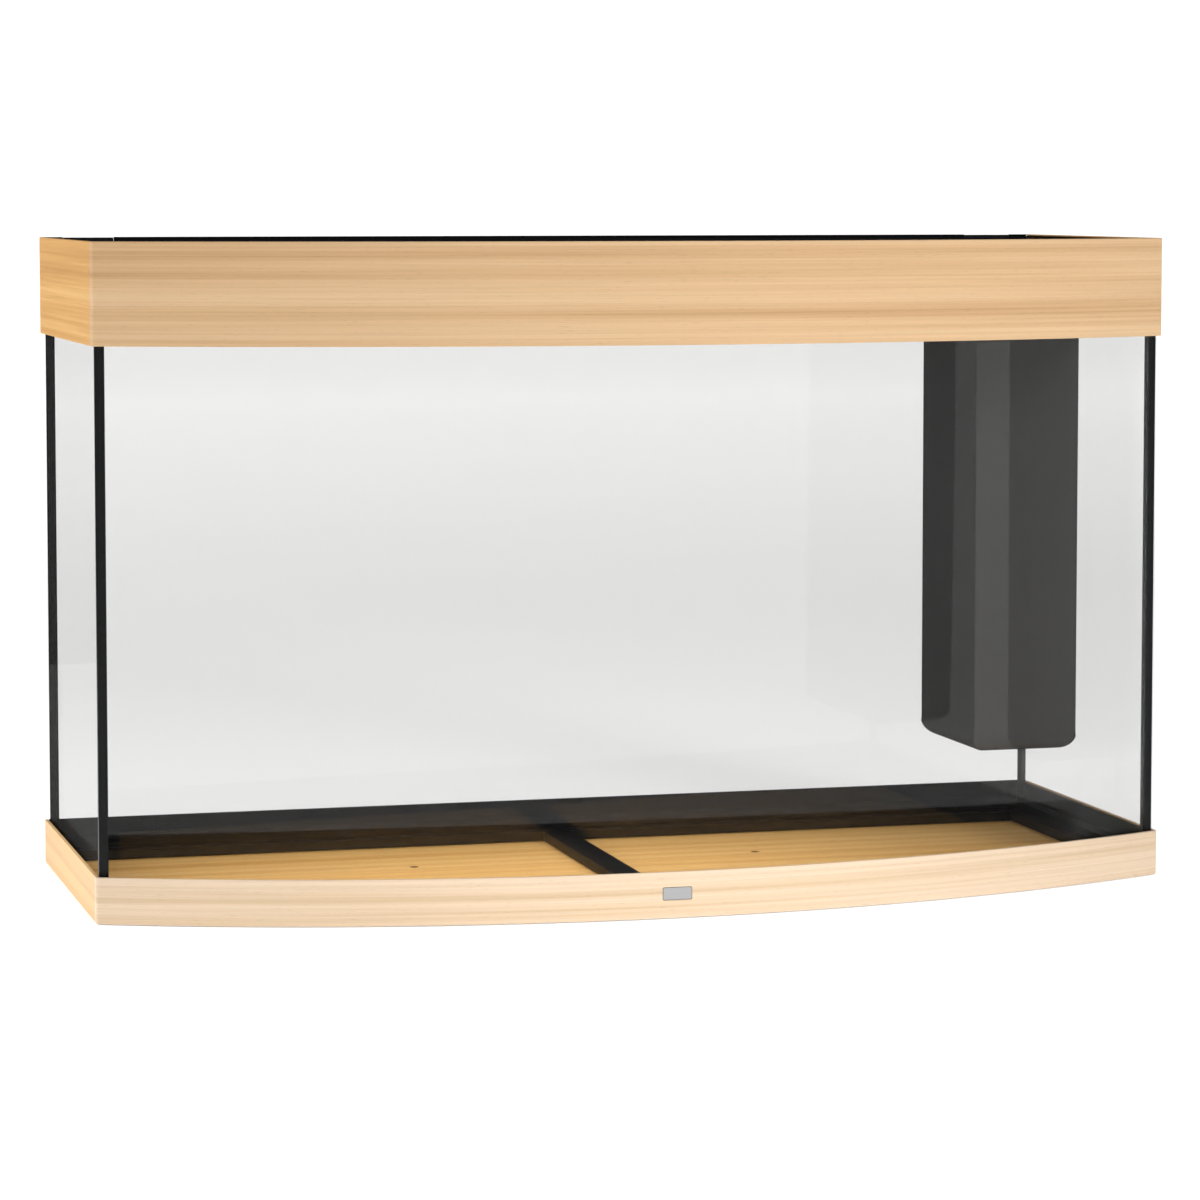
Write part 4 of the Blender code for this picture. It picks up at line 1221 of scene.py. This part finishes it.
class TANK_OT_heater(bpy.types.Operator):
    """Immersion heater: glass tube with its element, head and dial"""

    bl_idname = "aquarium.heater"
    bl_label = "Heater"

    def execute(self, context):
        low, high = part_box("heater_tube")
        x, y = (low.x + high.x) / 2, (low.y + high.y) / 2
        radius = (high.x - low.x) / 2
        tube = span("heater_glass", (x, y, low.z), (x, y, high.z), radius, "Z")
        pick(tube, "EDGE", lambda e: all(abs(v.co.z - low.z) < 1e-5 for v in e.verts))
        bpy.ops.mesh.bevel(offset=9 * MM, segments=8, affect="EDGES")
        done(tube)
        soften(tube, 0)
        give(tube, FINISHES["tube"], "tank", ["heater_tube"])
        low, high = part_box("heater_head")
        head = span("heater_cap", (x, y, low.z), (x, y, high.z - 10 * MM), 12.5 * MM, "Z")
        for k in range(12):
            at = self.round_about(x, y, 12.9 * MM, math.tau * k / 12, 0.440)
            carve(head, disc("rib", at, MM, 12 * MM, steps=12))
        carve(head, span("socket", (x, y, low.z - MM), (x, y, 0.4326), 11.4 * MM, "Z"))
        gland = span("lead_gland", (x + 14 * MM, y, 0.45), (x + 14 * MM, y, 0.468), 4 * MM, "Z", 24)
        pin = span("pin", (x, y, 0.461), (x, y, 0.472), 3 * MM, "Z", 24)
        carve(head, gland, pin, operation="UNION")
        soften(head, 0.35 * MM, 2)
        give(head, FINISHES["rail"], "tank", ["heater_head"])
        low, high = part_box("heater_dial")
        dial = span("temperature_dial", (x, y, low.z), (x, y, high.z - 2 * MM), 9 * MM, "Z")
        for k in range(24):
            at = self.round_about(x, y, 9.5 * MM, math.tau * k / 24, 0.47)
            carve(dial, disc("flute", at, 0.9 * MM, 0.03, steps=8))
        pointer = block(
            "pointer", (x - 1.2 * MM, low.y, high.z - 3 * MM), (x + 1.2 * MM, y + 4 * MM, high.z)
        )
        carve(dial, pointer, operation="UNION")
        carve(dial, span("bore", (x, y, low.z - MM), (x, y, 0.473), 3.4 * MM, "Z", 24))
        soften(dial, 0.25 * MM, 2)
        give(dial, FINISHES["dial"], "dial", ["heater_dial"])
        return {"FINISHED"}

    def round_about(self, x, y, radius, angle, level):
        """A place on a level circle."""
        return (x + radius * math.cos(angle), y + radius * math.sin(angle), level)


# ---------------------------------------------------------------- stage


# name, place, where it points, width and height in metres, watts, spread in degrees
SOFTBOXES = (
    ("key_front", (1.35, -3.35, 1.5), (0.03, 0, 0.2), (1.0, 1.0), 4.1, 40),
    ("base_kick", (0.3, -2.3, 0.3), (0.02, -0.2, 0.02), (0.4, 0.4), 0.2, 22),
    ("side_left", (-3.4, 0.6, 1.2), (-0.4, 0.1, 0.3), (1.6, 1.6), 8.5, 60),
    ("backdrop_wash", (0, 4.0, 4.5), (0, 9.4, 2.2), (4.0, 4.0), 26, 180),
    ("tube_glow", (-0.08, 0.01, 0.47), (-0.08, 0.01, 0), (0.7, 0.06), 0.72, 80),
)
CAMERA_PLACE = (-0.9147, -3.3229, 0.5896)
CAMERA_DOWN, CAMERA_TURN = math.radians(4.087), math.radians(15.239)
CAMERA_LENS = 121.1
CAMERA_SHIFT = -0.1
WORLD_STRENGTH = 0.24
FLOOR_GLOW = 0.7


class TANK_OT_stage(bpy.types.Operator):
    """Pale floor and backdrop, soft studio lights and the camera"""

    bl_idname = "aquarium.stage"
    bl_label = "Stage"

    def execute(self, context):
        scene = context.scene
        self.floor()
        world = bpy.data.worlds.new("studio")
        scene.world = world
        world.use_nodes = True
        background = world.node_tree.nodes["Background"]
        background.inputs["Color"].default_value = (1, 1, 1, 1)
        background.inputs["Strength"].default_value = WORLD_STRENGTH
        for lamp in SOFTBOXES:
            self.softbox(*lamp)
        self.flag()
        camera = bpy.data.objects.new("camera", bpy.data.cameras.new("camera"))
        scene.collection.objects.link(camera)
        camera.location = CAMERA_PLACE
        camera.rotation_euler = (math.pi / 2 - CAMERA_DOWN, 0, -CAMERA_TURN)
        camera.data.sensor_width = 36
        camera.data.lens = CAMERA_LENS
        camera.data.shift_y = CAMERA_SHIFT
        camera.data.clip_end = 100
        scene.camera = camera
        scene.view_settings.view_transform = "Standard"
        return {"FINISHED"}

    def floor(self):
        """A pale floor that glows a little and sweeps up into a backdrop far behind."""
        start()
        bpy.ops.mesh.primitive_plane_add(size=1)
        floor = bpy.context.object
        floor.scale = (40, 26, 1)
        floor.location = (0, -5, -0.0005)
        settle("studio_floor")
        pick(floor, "EDGE", lambda e: all(v.co.y > 7.9 for v in e.verts))
        bpy.ops.mesh.spin(steps=16, angle=-math.pi / 2, center=(0, 8, 2.0), axis=(1, 0, 0))
        bpy.ops.mesh.extrude_region_move(TRANSFORM_OT_translate={"value": (0, 0, 8)})
        done(floor)
        only(floor)
        bpy.ops.object.shade_smooth_by_angle(angle=math.radians(60))
        material, tree, shader, place = new_material("matt white paper", roughness=0.9)
        fibre = add_node(
            tree, "ShaderNodeTexNoise", {"Vector": place}, {"Scale": 3.0, "Detail": 2.0}
        )
        tone = add_node(
            tree, "ShaderNodeMix", {0: fibre.outputs["Fac"]},
            {6: linear("#f4f4f3"), 7: linear("#f8f8f7")}, data_type="RGBA",
        ).outputs[2]
        tree.links.new(tone, shader.inputs["Base Color"])
        shader.inputs["Specular IOR Level"].default_value = 0.1
        tree.links.new(tone, shader.inputs["Emission Color"])
        shader.inputs["Emission Strength"].default_value = FLOOR_GLOW
        floor.data.materials.append(material)

    def flag(self):
        """A black card behind the tank, seen only in gloss: it keeps the cover's sheen dark."""
        start()
        bpy.ops.mesh.primitive_plane_add(size=1, location=(0.3, 1.1, 1.12), rotation=TURNS["Y"])
        bpy.context.object.scale = (5, 2.1, 1)
        card = settle("studio_flag")
        material, tree, shader, place = new_material("black velvet", roughness=1.0)
        pile = add_node(tree, "ShaderNodeTexNoise", {"Vector": place}, {"Scale": 400.0})
        tone = add_node(
            tree, "ShaderNodeMix", {0: pile.outputs["Fac"]},
            {6: linear("#050505"), 7: linear("#0b0b0b")}, data_type="RGBA",
        ).outputs[2]
        tree.links.new(tone, shader.inputs["Base Color"])
        shader.inputs["Specular IOR Level"].default_value = 0.0
        card.data.materials.append(material)
        for ray in ("camera", "diffuse", "transmission", "shadow", "volume_scatter"):
            setattr(card, f"visible_{ray}", False)

    def softbox(self, name, place, target, size, power, spread):
        """A soft area lamp that lights the set and shows in no pane."""
        lamp = bpy.data.lights.new(name, "AREA")
        lamp.spread = math.radians(spread)
        lamp.shape = "RECTANGLE"
        lamp.size, lamp.size_y = size
        lamp.energy = power
        made = bpy.data.objects.new(name, lamp)
        bpy.context.scene.collection.objects.link(made)
        made.location = place
        made.rotation_euler = (Vector(target) - Vector(place)).to_track_quat("-Z", "Y").to_euler()
        made.visible_camera = made.visible_glossy = False


# ---------------------------------------------------------------- add-on


OPERATORS = (
    TANK_OT_panes, TANK_OT_seams, TANK_OT_bands, TANK_OT_frames, TANK_OT_flaps,
    TANK_OT_light_bar, TANK_OT_filter, TANK_OT_pump, TANK_OT_heater, TANK_OT_stage,
)


class TANK_PT_panel(bpy.types.Panel):
    """Lists the sizes, the colours and the pieces"""

    bl_idname = "TANK_PT_panel"
    bl_label = "Aquarium"
    bl_space_type = "VIEW_3D"
    bl_region_type = "UI"
    bl_category = "Aquarium"

    def draw(self, context):
        for group in (context.scene.aquarium_sizes, context.scene.aquarium_look):
            for name in type(group).__annotations__:
                self.layout.prop(group, name)
        for operator in OPERATORS:
            self.layout.operator(operator.bl_idname)


CLASSES = (AquariumSizes, AquariumLook, *OPERATORS, TANK_PT_panel)


def register():
    """Adds the classes and the two groups of settings."""
    for cls in CLASSES:
        bpy.utils.register_class(cls)
    bpy.types.Scene.aquarium_sizes = bpy.props.PointerProperty(type=AquariumSizes)
    bpy.types.Scene.aquarium_look = bpy.props.PointerProperty(type=AquariumLook)


def unregister():
    """Takes them away again."""
    del bpy.types.Scene.aquarium_look
    del bpy.types.Scene.aquarium_sizes
    for cls in reversed(CLASSES):
        bpy.utils.unregister_class(cls)


def main():
    """Builds the set and every piece."""
    register()
    make_finishes(bpy.context.scene.aquarium_look)
    bpy.ops.aquarium.stage()
    bpy.ops.aquarium.panes()
    bpy.ops.aquarium.seams()
    bpy.ops.aquarium.bands()
    bpy.ops.aquarium.frames()
    bpy.ops.aquarium.flaps()
    bpy.ops.aquarium.light_bar()
    bpy.ops.aquarium.filter()
    bpy.ops.aquarium.pump()
    bpy.ops.aquarium.heater()
    start()


if __name__ == "__main__":
    main()
